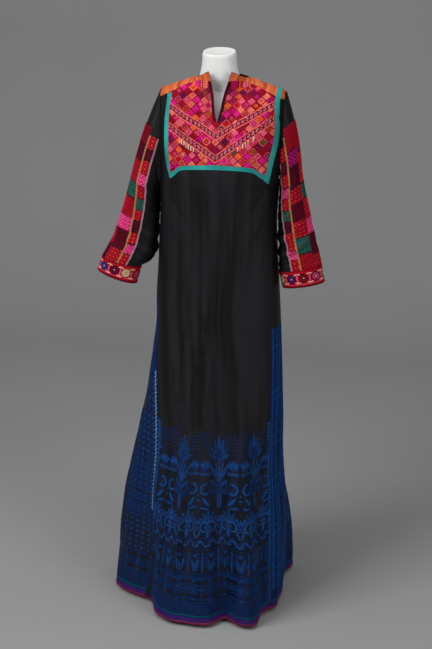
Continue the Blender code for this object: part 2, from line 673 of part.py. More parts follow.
# ---------------------------------------------------------------- the pieces
def build_body(paint):
    front, split_row = front_grid()
    top_row = max(row for row, _ in front)
    widest = PANEL_CELLS + 2
    labels = list(range(-widest, widest + 1))
    left, right = list(range(-widest, 1)), list(range(0, widest + 1))
    cells = front_cells(front, range(0, split_row), labels)
    for half in (left, right):
        cells += front_cells(front, range(split_row, top_row), half)
    wall("front_panel", front, cells, CLOTH, paint["black"])

    ribbon = PANEL_CELLS
    bottom_outer = len(LOWER_LEVELS) + 1
    bottom_inner = bottom_outer + 1
    yoke_row = top_row - YOKE_CELLS
    middle = list(range(-ribbon, ribbon + 1))
    panel = front_cells(front, range(bottom_inner, split_row), middle)
    for half in (middle[:ribbon + 1], middle[ribbon:]):
        panel += front_cells(front, range(split_row, yoke_row), half)
    wall("chest_panel", inset(front, panel), panel, TRIM, paint["chest"])

    bottom = front_cells(front, [bottom_outer], middle)
    wall("chest_ribbon_bottom", inset(front, bottom), bottom, TRIM, paint["turquoise"])
    strip = front_cells(front, range(bottom_outer, yoke_row), [-ribbon - 1, -ribbon])
    wall("chest_ribbon_left", inset(front, strip), strip, TRIM, paint["turquoise"])
    strip = front_cells(front, range(bottom_outer, top_row - 1), [ribbon, ribbon + 1])
    raised = inset(front, strip)
    for row in range(yoke_row - 1, top_row):
        for label in (ribbon, ribbon + 1):
            offset = TRIM if row < yoke_row - 0.5 else TRIM_OVER
            raised[(row, label)] = tuple(raised[(row, label)][:2]) + (offset,)
    wall("chest_ribbon_right", raised, strip, TRIM, paint["turquoise"])
    for name, half in (("yoke_left", left), ("yoke_right", right)):
        patch = front_cells(front, range(yoke_row, top_row), half)
        wall(name, inset(front, patch, SEAM_GAP), patch, TRIM, paint["orange"])

    back = back_grid()
    rows = max(row for row, _ in back)
    across = list(range(-BACK_CELLS, BACK_CELLS + 1))
    cells = grid_cells(range(rows), across, flip=True)
    wall("back_panel", back, cells, CLOTH, paint["black"])

    tape = {}
    order = [(front, label) for label in labels]
    sequence = list(range(GORE_CELLS + 1))
    for side in ("right", "left"):
        gore = gore_grid(side)
        cells = grid_cells(range(len(LOWER_LEVELS)), sequence, flip=side == "left")
        wall("side_gore_" + side, gore, cells, CLOTH, paint["black"])
        if side == "left":
            order += [(back, label) for label in across[::-1]]
            sequence = sequence[::-1]
        order += [(gore, column) for column in sequence]
    for index, (grid, column) in enumerate(order):
        for row in (0, 1):
            tape[(row, index)] = grid[(row, column)]
    count = len(order)
    cells = [((0, i), (0, (i + 1) % count), (1, (i + 1) % count), (1, i)) for i in range(count)]
    wall("hem_tape", tape, cells, TRIM, paint["magenta"])


def armhole_normal(side, around, own):
    """The body's normal at the armhole edge, or the sleeve's own under the arm."""
    around = around % 1.0
    half = min(around, 1 - around) * 2
    if half > FRONT_EDGE_SHARE * 0.96:
        return own
    face = "front" if around <= 0.5 else "back"
    level = np.array([2 - half / FRONT_EDGE_SHARE])
    return panel_normals(np.ones(1), level, face, -1 if side == "left" else 1)[1][0]


def sleeve_lines(side, ring):
    """How far round from the outer line each line of the patchwork runs, at one ring."""
    top, cuff = PATCH_MIDDLE[side]
    middle = top + (cuff - top) * ring / (len(SLEEVE_LEFT) - 1)
    wide = PATCH_WIDE
    gold = wide + PATCH_GOLD
    narrow = gold + PATCH_NARROW
    silver = narrow + PATCH_SILVER
    front = [middle + d for d in (0, wide / 2, wide, gold, (gold + narrow) / 2, narrow, silver)]
    back = [middle - d for d in (silver, narrow, (gold + narrow) / 2, gold, wide, wide / 2)]
    return back + front


def build_sleeve(side, paint):
    rows = SLEEVE_LEFT if side == "left" else SLEEVE_RIGHT
    count = len(sleeve_lines(side, 0))
    last = len(rows)
    wide_level = 2
    narrow_level = 3
    points = {}
    total = count + UNDERARM_CELLS - 1
    for column in range(total):
        arounds = []
        for level in range(CAP_LEVELS + last):
            ring = max(0, level - CAP_LEVELS)
            lines = sleeve_lines(side, ring)
            ends = (around_at(side, lines[0], ring), around_at(side, lines[-1], ring))
            if column < count:
                arounds.append(around_at(side, lines[column], ring))
            else:
                share = (column - count + 1) / UNDERARM_CELLS
                arounds.append(ends[1] + (1 + ends[0] - ends[1]) * share)
        start = arounds[0]
        wide = cap_start(side, start, WIDE_START)
        narrow = max(wide + 0.06, cap_start(side, start, NARROW_START))
        alongs = [0.0, wide / 2, wide, narrow, (1 + narrow) / 2]
        alongs += [1.0 + ring for ring in range(last)]
        arounds, alongs = np.array(arounds), np.array(alongs)

        def surface(u, v):
            return sleeve_point(side, u, np.clip(v, 0, last))

        place, normal = with_normals(surface, arounds, np.clip(alongs, 0.02, last - 0.02),
                                     -1 if side == "left" else 1, dv=0.02)
        place = surface(arounds, alongs)
        for level in range(len(alongs)):
            points[(level, column)] = (place[level], normal[level])
        points[(0, column)] = (place[0], armhole_normal(side, arounds[0], normal[0]))
    ring_columns = list(range(total)) + [0]
    flip = side == "left"
    cells = grid_cells(range(CAP_LEVELS + last - 1), ring_columns, flip)
    wall("sleeve_" + side, points, cells, CLOTH, paint["black"])

    bottom = CAP_LEVELS + last - 1
    bands = (
        ("silver_ribbon_back", 0, 1, narrow_level, "silver"),
        ("narrow_patches_back", 1, 3, narrow_level, "red"),
        ("gold_ribbon_back", 3, 4, narrow_level, "gold"),
        ("wide_patches_back", 4, 6, wide_level, "red"),
        ("wide_patches_front", 6, 8, wide_level, "red"),
        ("gold_ribbon_front", 8, 9, narrow_level, "gold"),
        ("narrow_patches_front", 9, 11, narrow_level, "red"),
        ("silver_ribbon_front", 11, 12, narrow_level, "silver"),
    )
    for name, first, end, level, colour in bands:
        patch = grid_cells(range(level, bottom), list(range(first, end + 1)), flip)
        wall(f"{name}_{side}", inset(points, patch), patch, TRIM, paint[colour])

    cuff_rows = CUFF_LEFT if side == "left" else CUFF_RIGHT
    cuff = {}
    for column in range(CUFF_COLUMNS):
        around = np.full(3, column / CUFF_COLUMNS)
        at = np.array([0.0, 0.5, 1.0])

        def cuff_surface(u, v):
            return ring_point(cuff_rows, v, u)

        _, normal = with_normals(cuff_surface, around, np.array([0.1, 0.5, 0.9]),
                                 -1 if side == "left" else 1, dv=0.05)
        place = cuff_surface(around, at)
        for row in range(3):
            cuff[(row, column)] = (place[row], normal[row])
    cells = grid_cells(range(2), list(range(CUFF_COLUMNS)) + [0], flip)
    wall("cuff_" + side, cuff, cells, CUFF_WALL, paint["red"])


# ---------------------------------------------------------------- the dress form
def lathe(name, rings, material):
    """A closed solid through rings of points, each ring a list of the same length."""
    count = len(rings[0])
    vertices = [point for ring in rings for point in ring]
    faces = []
    for level in range(len(rings) - 1):
        for i in range(count):
            j = (i + 1) % count
            a, b = level * count, (level + 1) * count
            faces.append([a + i, a + j, b + j, b + i])
    faces.append([i for i in range(count)][::-1])
    faces.append([(len(rings) - 1) * count + i for i in range(count)])
    return solid(name, vertices, faces, material)


def form_ring(middle, half_x, half_y, height, count=28):
    ring = []
    for i in range(count):
        angle = 2 * math.pi * i / count
        cosine, sine = math.cos(angle), math.sin(angle)
        x = math.copysign(abs(cosine)**(2 / FORM_SQUARE), cosine) * half_x
        y = math.copysign(abs(sine)**(2 / FORM_SQUARE), sine) * half_y
        tilt = NECK_TILT * float(smooth((height - NECK_TILT_START) / 0.03))
        ring.append((middle + x, y, height + y * tilt))
    return ring


def round_ring(radius, height, count=32):
    return [(radius * math.cos(2 * math.pi * i / count), radius * math.sin(2 * math.pi * i / count), height)
            for i in range(count)]


def build_form(paint):
    rings = [form_ring(middle, half_x, half_y, height) for height, middle, half_x, half_y in FORM_TORSO]
    lathe("form_torso", rings, paint["white"])
    top, middle, half_x, half_y = FORM_TORSO[-1]
    low = top + SEAM_GAP
    high = low + NECK_CAP_THICKNESS
    cap = [form_ring(middle, half_x - NECK_CAP_INSET, half_y - NECK_CAP_INSET, low),
           form_ring(middle, half_x - NECK_CAP_INSET, half_y - NECK_CAP_INSET, high - 0.001),
           form_ring(middle, half_x - NECK_CAP_INSET - 0.001, half_y - NECK_CAP_INSET - 0.001, high)]
    lathe("form_neck_cap", cap, paint["white"])
    bottom = FORM_TORSO[0][0]
    lathe("form_pole", [round_ring(POLE_RADIUS, BASE_HUB_TOP + SEAM_GAP, 20),
                        round_ring(POLE_RADIUS, bottom - SEAM_GAP, 20)], paint["steel"])
    lathe("form_base", [round_ring(BASE_RADIUS, 0.0), round_ring(BASE_RADIUS, BASE_THICKNESS - 0.003),
                        round_ring(BASE_RADIUS - 0.003, BASE_THICKNESS),
                        round_ring(BASE_HUB_RADIUS, BASE_THICKNESS + 0.002),
                        round_ring(BASE_HUB_RADIUS - 0.008, BASE_HUB_TOP)], paint["base"])


def main():
    for piece in list(bpy.data.objects):
        bpy.data.objects.remove(piece, do_unlink=True)
    paint = {name: clean_material(name) for name in COLOURS}
    build_body(paint)
    for side in ("left", "right"):
        build_sleeve(side, paint)
    build_form(paint)


main()
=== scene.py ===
import functools
import math

import bpy
import numpy as np
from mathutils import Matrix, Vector


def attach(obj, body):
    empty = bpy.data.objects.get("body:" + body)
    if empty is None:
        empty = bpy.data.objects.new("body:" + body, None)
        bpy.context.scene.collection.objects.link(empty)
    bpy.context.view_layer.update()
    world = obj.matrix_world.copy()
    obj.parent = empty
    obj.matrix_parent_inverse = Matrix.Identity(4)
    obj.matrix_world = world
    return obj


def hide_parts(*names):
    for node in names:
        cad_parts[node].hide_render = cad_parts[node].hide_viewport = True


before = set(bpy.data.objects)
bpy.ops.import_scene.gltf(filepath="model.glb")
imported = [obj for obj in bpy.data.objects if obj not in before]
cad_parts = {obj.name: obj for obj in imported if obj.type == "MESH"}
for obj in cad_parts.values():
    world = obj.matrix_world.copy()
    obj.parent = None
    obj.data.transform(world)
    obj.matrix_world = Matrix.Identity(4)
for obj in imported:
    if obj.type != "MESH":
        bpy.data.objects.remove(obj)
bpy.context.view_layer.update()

# ---------------------------------------------------------------- driving sizes
SEAM_GAP = 0.0003
CLOTH = (0.0, 0.0014)          # inner and outer face of the ground cloth, off the surface
TRIM = (0.0018, 0.0031)        # the same for what is sewn on it
TRIM_OVER = (0.0035, 0.0048)   # and for trim that crosses another trim
CUFF_WALL = (0.0, 0.0022)

HEM_HEIGHT = 0.010
HEM_TAPE_TOP = 0.018
UNDERARM_HEIGHT = 1.245
SLIT_BOTTOM = 0.396            # rows above the underarm count 0 to 1 up to the shoulder
YOKE_APPROACH = 0.030          # the last row of the chest panel, below the yoke's edge
FRONT_DIRECTION = 90.0         # degrees, 0 at +X, through -Y
BACK_DIRECTION = 270.0
CHEST_FULLNESS = 0.014

# Horizontal sections of the dress below the arms: how far it reaches from the axis, and
# the exponent that squares its outline.
SECTION_COLUMNS = ("height", "left", "right", "front", "back", "square")
SECTIONS = (
    (0.010, 0.302, 0.184, 0.238, 0.262, 2.0),
    (0.120, 0.292, 0.194, 0.230, 0.250, 2.0),
    (0.232, 0.285, 0.194, 0.218, 0.237, 2.0),
    (0.344, 0.270, 0.185, 0.203, 0.220, 2.0),
    (0.432, 0.251, 0.179, 0.189, 0.205, 2.0),
    (0.537, 0.228, 0.178, 0.169, 0.186, 2.05),
    (0.640, 0.206, 0.177, 0.153, 0.168, 2.1),
    (0.706, 0.196, 0.176, 0.144, 0.159, 2.15),
    (0.763, 0.187, 0.175, 0.137, 0.153, 2.2),
    (0.840, 0.1765, 0.172, 0.130, 0.144, 2.25),
    (0.930, 0.174, 0.168, 0.124, 0.130, 2.3),
    (1.030, 0.168, 0.162, 0.120, 0.113, 2.35),
    (1.140, 0.163, 0.159, 0.119, 0.100, 2.4),
    (1.245, 0.158, 0.165, 0.122, 0.105, 2.5),
)

# The directions of the four seams between front, side gores and back.
SEAM_COLUMNS = ("height", "front_left", "front_right", "back_left", "back_right")
SEAMS = (
    (0.010, 155.0, 36.0, 207.0, -30.0),
    (0.120, 149.0, 37.0, 206.0, -28.0),
    (0.270, 144.0, 35.0, 204.0, -26.0),
    (0.430, 143.0, 31.0, 203.0, -24.0),
    (0.700, 153.0, 26.0, 201.0, -22.0),
    (0.900, 163.0, 23.0, 200.0, -21.0),
    (1.245, 165.0, 15.0, 197.0, -18.0),
)

# Soft folds, each with its direction at the hem, its direction at its top, half its width
# in degrees, how far it stands out at the hem, and the height at which it dies away.
FOLDS = (
    (62.0, 66.0, 15.0, 0.044, 0.90),
    (79.0, 89.0, 12.0, -0.031, 1.16),
    (98.0, 101.0, 17.0, 0.012, 1.20),
    (114.0, 107.0, 11.0, 0.012, 1.00),
    (150.0, 150.0, 29.0, -0.062, 0.78),
    (182.0, 182.0, 14.0, 0.008, 0.60),
    (30.0, 30.0, 12.0, 0.010, 0.60),
    (-24.0, -24.0, 15.0, -0.026, 0.66),
    (-46.0, -44.0, 17.0, 0.064, 0.62),
    (-68.0, -66.0, 13.0, -0.022, 0.85),
    (-90.0, -88.0, 14.0, 0.016, 0.95),
    (-113.0, -110.0, 14.0, -0.024, 0.90),
    (-136.0, -134.0, 15.0, 0.018, 0.80),
    (-160.0, -158.0, 14.0, -0.016, 0.70),
)

# The front above the arms, row by row: the armhole edges, half the neck slit, and the
# middle of the chest, which hangs a little to the wearer's left.
CHEST_COLUMNS = ("row", "left_edge", "right_edge", "middle")
CHEST = (
    (0.00, 0.1520, 0.1590, 0.000),
    (0.20, 0.1535, 0.1640, 0.004),
    (0.45, 0.1540, 0.1700, 0.007),
    (0.75, 0.1550, 0.1760, 0.010),
    (1.00, 0.1570, 0.1800, 0.010),
)
SLIT_COLUMNS = ("row", "half_width")
SLIT = (
    (0.396, 0.0010),
    (0.470, 0.0070),
    (0.580, 0.0125),
    (0.725, 0.0215),
    (0.860, 0.0275),
    (1.000, 0.0320),
)

# The line where front and back end: shoulder seams, and the raised neck edge.
TOP_COLUMNS = ("across", "front_z", "back_z", "front_y", "back_y", "standing")
TOP_LINE = (
    (0.000, 1.5560, 1.5320, -0.0600, 0.0580, 1.0),
    (0.032, 1.5520, 1.5315, -0.0570, 0.0520, 1.0),
    (0.050, 1.5420, 1.5305, -0.0420, 0.0360, 0.9),
    (0.066, 1.5310, 1.5295, -0.0120, 0.0120, 0.5),
    (0.076, 1.5270, 1.5270, 0.0000, 0.0000, 0.2),
    (0.100, 1.5190, 1.5190, 0.0000, 0.0000, 0.0),
    (0.170, 1.4940, 1.4940, 0.0000, 0.0000, 0.0),
    (0.200, 1.4830, 1.4830, 0.0000, 0.0000, 0.0),
)

# The chest panel and its ribbon, as shares of the way from the slit to the armhole.
PANEL_COLUMNS = ("row", "left_inner", "left_outer", "right_inner", "right_outer")
PANEL_SIDES = (
    (0.00, 0.735, 0.765, 0.775, 0.845),
    (0.06, 0.755, 0.790, 0.790, 0.865),
    (0.14, 0.785, 0.845, 0.818, 0.895),
    (0.40, 0.820, 0.895, 0.895, 0.965),
    (0.725, 0.770, 0.850, 0.855, 0.935),
    (1.00, 0.760, 0.845, 0.855, 0.935),
)
BOTTOM_COLUMNS = ("share", "left_outer", "left_inner", "right_outer", "right_inner")
PANEL_BOTTOM = (
    (0.00, 0.112, 0.139, 0.112, 0.139),
    (0.35, 0.118, 0.145, 0.118, 0.145),
    (0.58, 0.112, 0.141, 0.112, 0.141),
    (0.76, 0.058, 0.094, 0.066, 0.100),
    (0.87, 0.050, 0.090, 0.028, 0.085),
    (1.00, 0.050, 0.090, 0.028, 0.085),
)

# The row at which the silk yoke begins, by the share of the way from slit to armhole.
YOKE_COLUMNS = ("share", "row")
YOKE_EDGE = (
    (0.00, 0.740),
    (0.15, 0.810),
    (0.40, 0.845),
    (0.75, 0.795),
    (1.00, 0.755),
)

# Sleeve rings, square to the arm: outer and inner line, and half the tube's thickness.
RING_COLUMNS = ("outer_x", "outer_z", "inner_x", "inner_z", "half_depth")
SLEEVE_LEFT = (
    (-0.2400, 1.258, -0.1645, 1.225, 0.052),
    (-0.2520, 1.215, -0.1660, 1.188, 0.046),
    (-0.2650, 1.170, -0.1685, 1.143, 0.042),
    (-0.2800, 1.122, -0.1715, 1.094, 0.039),
    (-0.2960, 1.080, -0.1760, 1.048, 0.037),
    (-0.3140, 1.046, -0.1900, 1.016, 0.036),
    (-0.3290, 1.020, -0.2230, 0.995, 0.036),
)
SLEEVE_RIGHT = (
    (0.2250, 1.270, 0.1690, 1.226, 0.052),
    (0.2345, 1.222, 0.1665, 1.188, 0.046),
    (0.2460, 1.172, 0.1650, 1.144, 0.042),
    (0.2570, 1.122, 0.1660, 1.096, 0.039),
    (0.2680, 1.076, 0.1680, 1.054, 0.037),
    (0.2770, 1.044, 0.1685, 1.022, 0.036),
    (0.2830, 1.016, 0.1695, 0.996, 0.036),
)
CUFF_LEFT = ((-0.3300, 1.0190, -0.2230, 0.9940, 0.037), (-0.3430, 0.9800, -0.2370, 0.9440, 0.038))
CUFF_RIGHT = ((0.2840, 1.0150, 0.1695, 0.9950, 0.037), (0.2930, 0.9680, 0.1810, 0.9490, 0.038))
SLEEVE_Y = -0.004
CAP_BULGE = 0.008
ARMHOLE_GAP = 0.0018
UNDERARM_STANDOFF = 0.0105
FRONT_EDGE_SHARE = 0.84        # of half the armhole, the rest is the gore's top edge

# The patchwork on a sleeve, measured around it from the middle of the patchwork.
PATCH_WIDE = 0.038
PATCH_GOLD = 0.0045
PATCH_NARROW = 0.021
PATCH_SILVER = 0.0045
PATCH_MIDDLE = {"left": (0.015, 0.025), "right": (0.028, 0.029)}   # at the first ring, at the cuff
WIDE_START = 0.150             # above the first ring, along the arm
NARROW_START = 0.130

# The dress form, section by section: height, middle across, half width and half depth.
FORM_TORSO = (
    (0.8000, 0.000, 0.1300, 0.0840),
    (0.8040, 0.000, 0.1430, 0.0950),
    (0.8200, 0.000, 0.1490, 0.1000),
    (0.9000, 0.000, 0.1530, 0.1020),
    (1.0000, 0.000, 0.1480, 0.0980),
    (1.1000, 0.000, 0.1390, 0.0900),
    (1.1800, 0.000, 0.1400, 0.0880),
    (1.2600, 0.002, 0.1440, 0.0920),
    (1.3400, 0.006, 0.1450, 0.0920),
    (1.4000, 0.008, 0.1460, 0.0830),
    (1.4400, 0.010, 0.1470, 0.0690),
    (1.4680, 0.010, 0.1450, 0.0550),
    (1.4860, 0.010, 0.1340, 0.0440),
    (1.4980, 0.009, 0.1100, 0.0390),
    (1.5080, 0.006, 0.0830, 0.0390),
    (1.5170, 0.003, 0.0640, 0.0405),
    (1.5300, 0.001, 0.0555, 0.0430),
    (1.5470, 0.000, 0.0505, 0.0430),
    (1.5630, 0.000, 0.0475, 0.0430),
    (1.5920, 0.000, 0.0455, 0.0425),
)
NECK_TILT = math.tan(math.radians(8.0))
NECK_TILT_START = 1.55
NECK_CAP_INSET = 0.0012
FORM_SQUARE = 2.2

# ---------------------------------------------------------------- tables
def curve(rows, columns, name, at):
    """One column of a table, read smoothly between its rows."""
    at = np.asarray(at, float)
    known = np.array([row[0] for row in rows])
    values = np.array([row[columns.index(name)] for row in rows])
    steps = np.diff(values) / np.diff(known)
    slopes = np.concatenate(([steps[0]], (steps[:-1] + steps[1:]) / 2, [steps[-1]]))
    flat = steps[:-1] * steps[1:] <= 0
    slopes[1:-1][flat] = 0.0
    limit = 3 * np.minimum(np.abs(np.append(steps, steps[-1])), np.abs(np.insert(steps, 0, steps[0])))
    slopes = np.clip(slopes, -limit, limit)
    at = np.clip(at, known[0], known[-1])
    cell = np.clip(np.searchsorted(known, at, side="right") - 1, 0, len(known) - 2)
    width = known[cell + 1] - known[cell]
    t = (at - known[cell]) / width
    return (values[cell] * (2 * t**3 - 3 * t**2 + 1) + slopes[cell] * width * (t**3 - 2 * t**2 + t)
            + values[cell + 1] * (3 * t**2 - 2 * t**3) + slopes[cell + 1] * width * (t**3 - t**2))


def smooth(t):
    t = np.clip(t, 0.0, 1.0)
    return t * t * (3 - 2 * t)


# ---------------------------------------------------------------- the dress below the arms
def skirt_point(direction, height):
    """The dress surface in one direction from the axis, at one height."""
    angle = np.radians(direction)
    cosine, sine = np.cos(angle), np.sin(angle)
    reach = {name: curve(SECTIONS, SECTION_COLUMNS, name, height) for name in SECTION_COLUMNS[1:]}
    across = np.where(cosine > 0, reach["right"], reach["left"])
    along = np.where(sine > 0, reach["front"], reach["back"])
    power = reach["square"]
    radius = ((np.abs(cosine) / across)**power + (np.abs(sine) / along)**power)**(-1 / power)
    for at_hem, at_top, half_width, depth, top in FOLDS:
        rise = np.clip((height - HEM_HEIGHT) / (top - HEM_HEIGHT), 0, 1)
        away = np.asarray(direction) - (at_hem + (at_top - at_hem) * rise)
        away = (away + 180) % 360 - 180
        bump = np.cos(np.clip(np.abs(away) / half_width, 0, 1) * math.pi / 2)**2
        radius = radius + depth * bump * (1 - smooth(rise)) * (1 - rise * 0.3)
    return np.stack([radius * cosine, -radius * sine, height + 0 * radius], -1)


def seam_direction(name, height):
    return curve(SEAMS, SEAM_COLUMNS, name, height)


@functools.lru_cache(maxsize=None)
def underarm_reach(face, side):
    """Directions from the middle to a side seam at the underarm, with how far each reaches."""
    middle = FRONT_DIRECTION if face == "front" else BACK_DIRECTION
    seam = float(seam_direction(face + ("_left" if side < 0 else "_right"), UNDERARM_HEIGHT))
    if face == "back" and side > 0:
        seam += 360
    trial = np.linspace(middle, seam, 61)
    reach = np.abs(skirt_point(trial, np.full(61, UNDERARM_HEIGHT))[:, 0])
    return trial, reach / reach[-1], reach[-1]


def direction_at_share(share, face):
    """The direction at the underarm that lies this share of the way to a side seam."""
    share = np.asarray(share, float)
    result = np.full(share.shape, FRONT_DIRECTION if face == "front" else BACK_DIRECTION)
    for side in (-1, 1):
        trial, reach, _ = underarm_reach(face, side)
        result = np.where(np.sign(share) == side, np.interp(np.abs(share), reach, trial), result)
    return result


def lower_point(share, height, face):
    """Front or back below the arms, by the share of the way from its middle to its seams."""
    share, height = np.broadcast_arrays(np.asarray(share, float), np.asarray(height, float))
    middle = FRONT_DIRECTION if face == "front" else BACK_DIRECTION
    start = direction_at_share(share, face)
    direction = np.full(share.shape, middle)
    for side in (-1, 1):
        name = face + ("_left" if side < 0 else "_right")
        seam_now = seam_direction(name, height)
        seam_top = float(seam_direction(name, UNDERARM_HEIGHT))
        if face == "back" and side > 0:
            seam_now = seam_now + 360
            seam_top += 360
        fraction = (start - middle) / (seam_top - middle)
        direction = np.where(np.sign(share) == side, middle + (seam_now - middle) * fraction, direction)
    return skirt_point(direction, height)


# ---------------------------------------------------------------- the dress above the arms
def upper_point(share, row, face, side):
    """Front or back above the arms; side is -1 or +1, and row runs 0 to 1 up the cloth."""
    share, row = np.broadcast_arrays(np.abs(np.asarray(share, float)), np.asarray(row, float))
    base = lower_point(share * side, np.full(share.shape, UNDERARM_HEIGHT), face)
    edge_name = "left_edge" if side < 0 else "right_edge"

    def across_at(rows):
        middle = curve(CHEST, CHEST_COLUMNS, "middle", rows)
        reach = curve(CHEST, CHEST_COLUMNS, edge_name, rows)
        reach = reach + (underarm_reach(face, side)[2] - CHEST[0][1]) * (1 - smooth(rows))
        reach = reach - side * middle
        slit = curve(SLIT, SLIT_COLUMNS, "half_width", rows) if face == "front" else 0.0
        slit = np.where(rows < SLIT_BOTTOM - 1e-6, 0.0, slit)
        return middle, slit + (reach - slit) * share

    middle, offset = across_at(row)
    top_offset = across_at(np.ones(row.shape))[1]
    x = middle + side * offset
    top_z = curve(TOP_LINE, TOP_COLUMNS, face + "_z", top_offset)
    top_y = curve(TOP_LINE, TOP_COLUMNS, face + "_y", top_offset)
    standing = curve(TOP_LINE, TOP_COLUMNS, "standing", top_offset)
    turn = row * math.pi / 2
    power = 0.85 + 1.15 * standing
    z = UNDERARM_HEIGHT + (top_z - UNDERARM_HEIGHT) * np.sin(turn)
    y = top_y + (base[..., 1] - top_y) * np.maximum(np.cos(turn), 0.0)**power
    outward = -1 if face == "front" else 1
    y = y + outward * CHEST_FULLNESS * share**2 * np.sin(math.pi * row)
    y = y + np.where(row > 0.999, outward * SEAM_GAP / 2, 0.0)
    return np.stack([x, y, z], -1)


def dress_point(share, level, face, side):
    """Level 0 to 1 runs from hem to underarm, 1 to 2 on up to the shoulder."""
    height = HEM_HEIGHT + np.clip(level, 0, 1) * (UNDERARM_HEIGHT - HEM_HEIGHT)
    low = lower_point(np.abs(share) * side, height, face)
    high = upper_point(share, np.clip(level - 1, 0, 1), face, side)
    return np.where(np.asarray(level)[..., None] <= 1, low, high)


# ---------------------------------------------------------------- sleeves
def armhole_point(side, around):
    """The armhole edge: around 0 at the shoulder, 0.5 at the front of the underarm, 1 back."""
    around = np.asarray(around, float) % 1.0
    half = np.where(around <= 0.5, around, 1 - around) * 2
    climb = np.clip(1 - half / FRONT_EDGE_SHARE, 0, 1)
    inward = np.clip((half - FRONT_EDGE_SHARE) / (1 - FRONT_EDGE_SHARE), 0, 1)
    sign = -1 if side == "left" else 1
    points = []
    for face in ("front", "back"):
        edge = upper_point(np.ones(half.shape), climb, face, sign)
        corner = upper_point(np.ones(half.shape), np.zeros(half.shape), face, sign)
        under = skirt_point(np.full(half.shape, 180.0 if sign < 0 else 0.0),
                            np.full(half.shape, UNDERARM_HEIGHT))
        along = corner + (under - corner) * inward[..., None]
        along[..., 0] += sign * 0.004 * np.sin(math.pi / 2 * inward)
        points.append(np.where(inward[..., None] > 0, along, edge))
    return np.where((around <= 0.5)[..., None], points[0], points[1])


def ring_point(rows, at, around):
    """A point on the sleeve's rings, between the rows of their table."""
    index = np.arange(len(rows), dtype=float)
    table = [(i,) + row for i, row in zip(index, rows)]
    columns = ("ring",) + RING_COLUMNS
    value = {name: curve(table, columns, name, at) for name in RING_COLUMNS}
    angle = np.asarray(around, float) * 2 * math.pi
    reach = np.sign(np.cos(angle)) * np.abs(np.cos(angle))**0.95
    depth = np.sign(np.sin(angle)) * np.abs(np.sin(angle))**0.95
    x = (value["outer_x"] + value["inner_x"]) / 2 + (value["outer_x"] - value["inner_x"]) / 2 * reach
    z = (value["outer_z"] + value["inner_z"]) / 2 + (value["outer_z"] - value["inner_z"]) / 2 * reach
    y = SLEEVE_Y - value["half_depth"] * depth
    return np.stack([x, y, z], -1)


def sleeve_point(side, around, along):
    """Along 0 to 1 is the sleeve cap, from armhole to first ring; then one unit a ring."""
    rows = SLEEVE_LEFT if side == "left" else SLEEVE_RIGHT
    around, along = np.broadcast_arrays(np.asarray(around, float), np.asarray(along, float))
    sign = -1 if side == "left" else 1
    start = armhole_point(side, around)
    half = np.where(around % 1.0 <= 0.5, around % 1.0, 1 - around % 1.0) * 2
    standoff = ARMHOLE_GAP + UNDERARM_STANDOFF * smooth((half - FRONT_EDGE_SHARE) / 0.12)
    start[..., 0] += sign * standoff
    first = ring_point(rows, np.zeros(around.shape), around)
    t = np.clip(along, 0, 1)[..., None]
    bulge = np.sin(math.pi * t[..., 0]) * CAP_BULGE * np.clip(1 - half * 1.4, 0, 1)
    cap = start + (first - start) * t
    cap[..., 0] += sign * bulge
    below = ring_point(rows, np.clip(along - 1, 0, len(rows) - 1), around)
    return np.where((along <= 1)[..., None], cap, below)


def around_at(side, distance, ring):
    """Where a line runs that lies this far around the sleeve from its outer line."""
    rows = SLEEVE_LEFT if side == "left" else SLEEVE_RIGHT
    steps = np.linspace(0, 0.5, 81)
    outline = ring_point(rows, np.full(81, ring), steps)
    length = np.concatenate(([0], np.cumsum(np.linalg.norm(np.diff(outline, axis=0), axis=1))))
    share = np.interp(abs(distance), length, steps)
    return share if distance >= 0 else -share


def cap_start(side, around, distance):
    """How far along the sleeve cap a line is that lies this far above the first ring."""
    top = sleeve_point(side, np.array([around]), np.array([0.0]))
    foot = sleeve_point(side, np.array([around]), np.array([1.0]))
    return max(0.08, 1 - distance / float(np.linalg.norm(foot - top)))


# ---------------------------------------------------------------- colours
def linear(red, green, blue):
    """A colour given as 0 to 255 sRGB, in linear light."""
    parts = [value / 255 for value in (red, green, blue)]
    return tuple(p / 12.92 if p <= 0.04045 else ((p + 0.055) / 1.055)**2.4 for p in parts)


THREADS = {
    "blue": (12, 46, 98),
    "light_blue": (24, 74, 136),
    "deep_blue": (9, 36, 78),
    "pale_blue": (110, 146, 186),
    "teal": (12, 78, 98),
    "violet": (70, 30, 112),
    "hem_pink": (192, 32, 92),
    "hem_pale": (206, 150, 168),
    "black": (24, 22, 27),
    "red": (190, 14, 32),
    "crimson": (146, 8, 36),
    "dark_red": (98, 4, 24),
    "maroon": (54, 4, 24),
    "magenta": (222, 24, 138),
    "pink": (232, 92, 124),
    "salmon": (240, 122, 104),
    "orange": (240, 100, 48),
    "purple": (86, 12, 66),
    "plum": (118, 14, 70),
    "green": (18, 96, 56),
    "olive": (104, 72, 46),
    "cream": (238, 214, 184),
    "gold": (188, 140, 80),
    "dark_gold": (150, 98, 52),
    "silver": (180, 150, 156),
    "dark_silver": (138, 94, 104),
    "navy": (40, 44, 120),
}
THREAD_NAMES = list(THREADS)
THREAD_COLOURS = np.array([linear(*THREADS[name]) for name in THREAD_NAMES])
NONE = -1


def thread(name):
    return THREAD_NAMES.index(name)


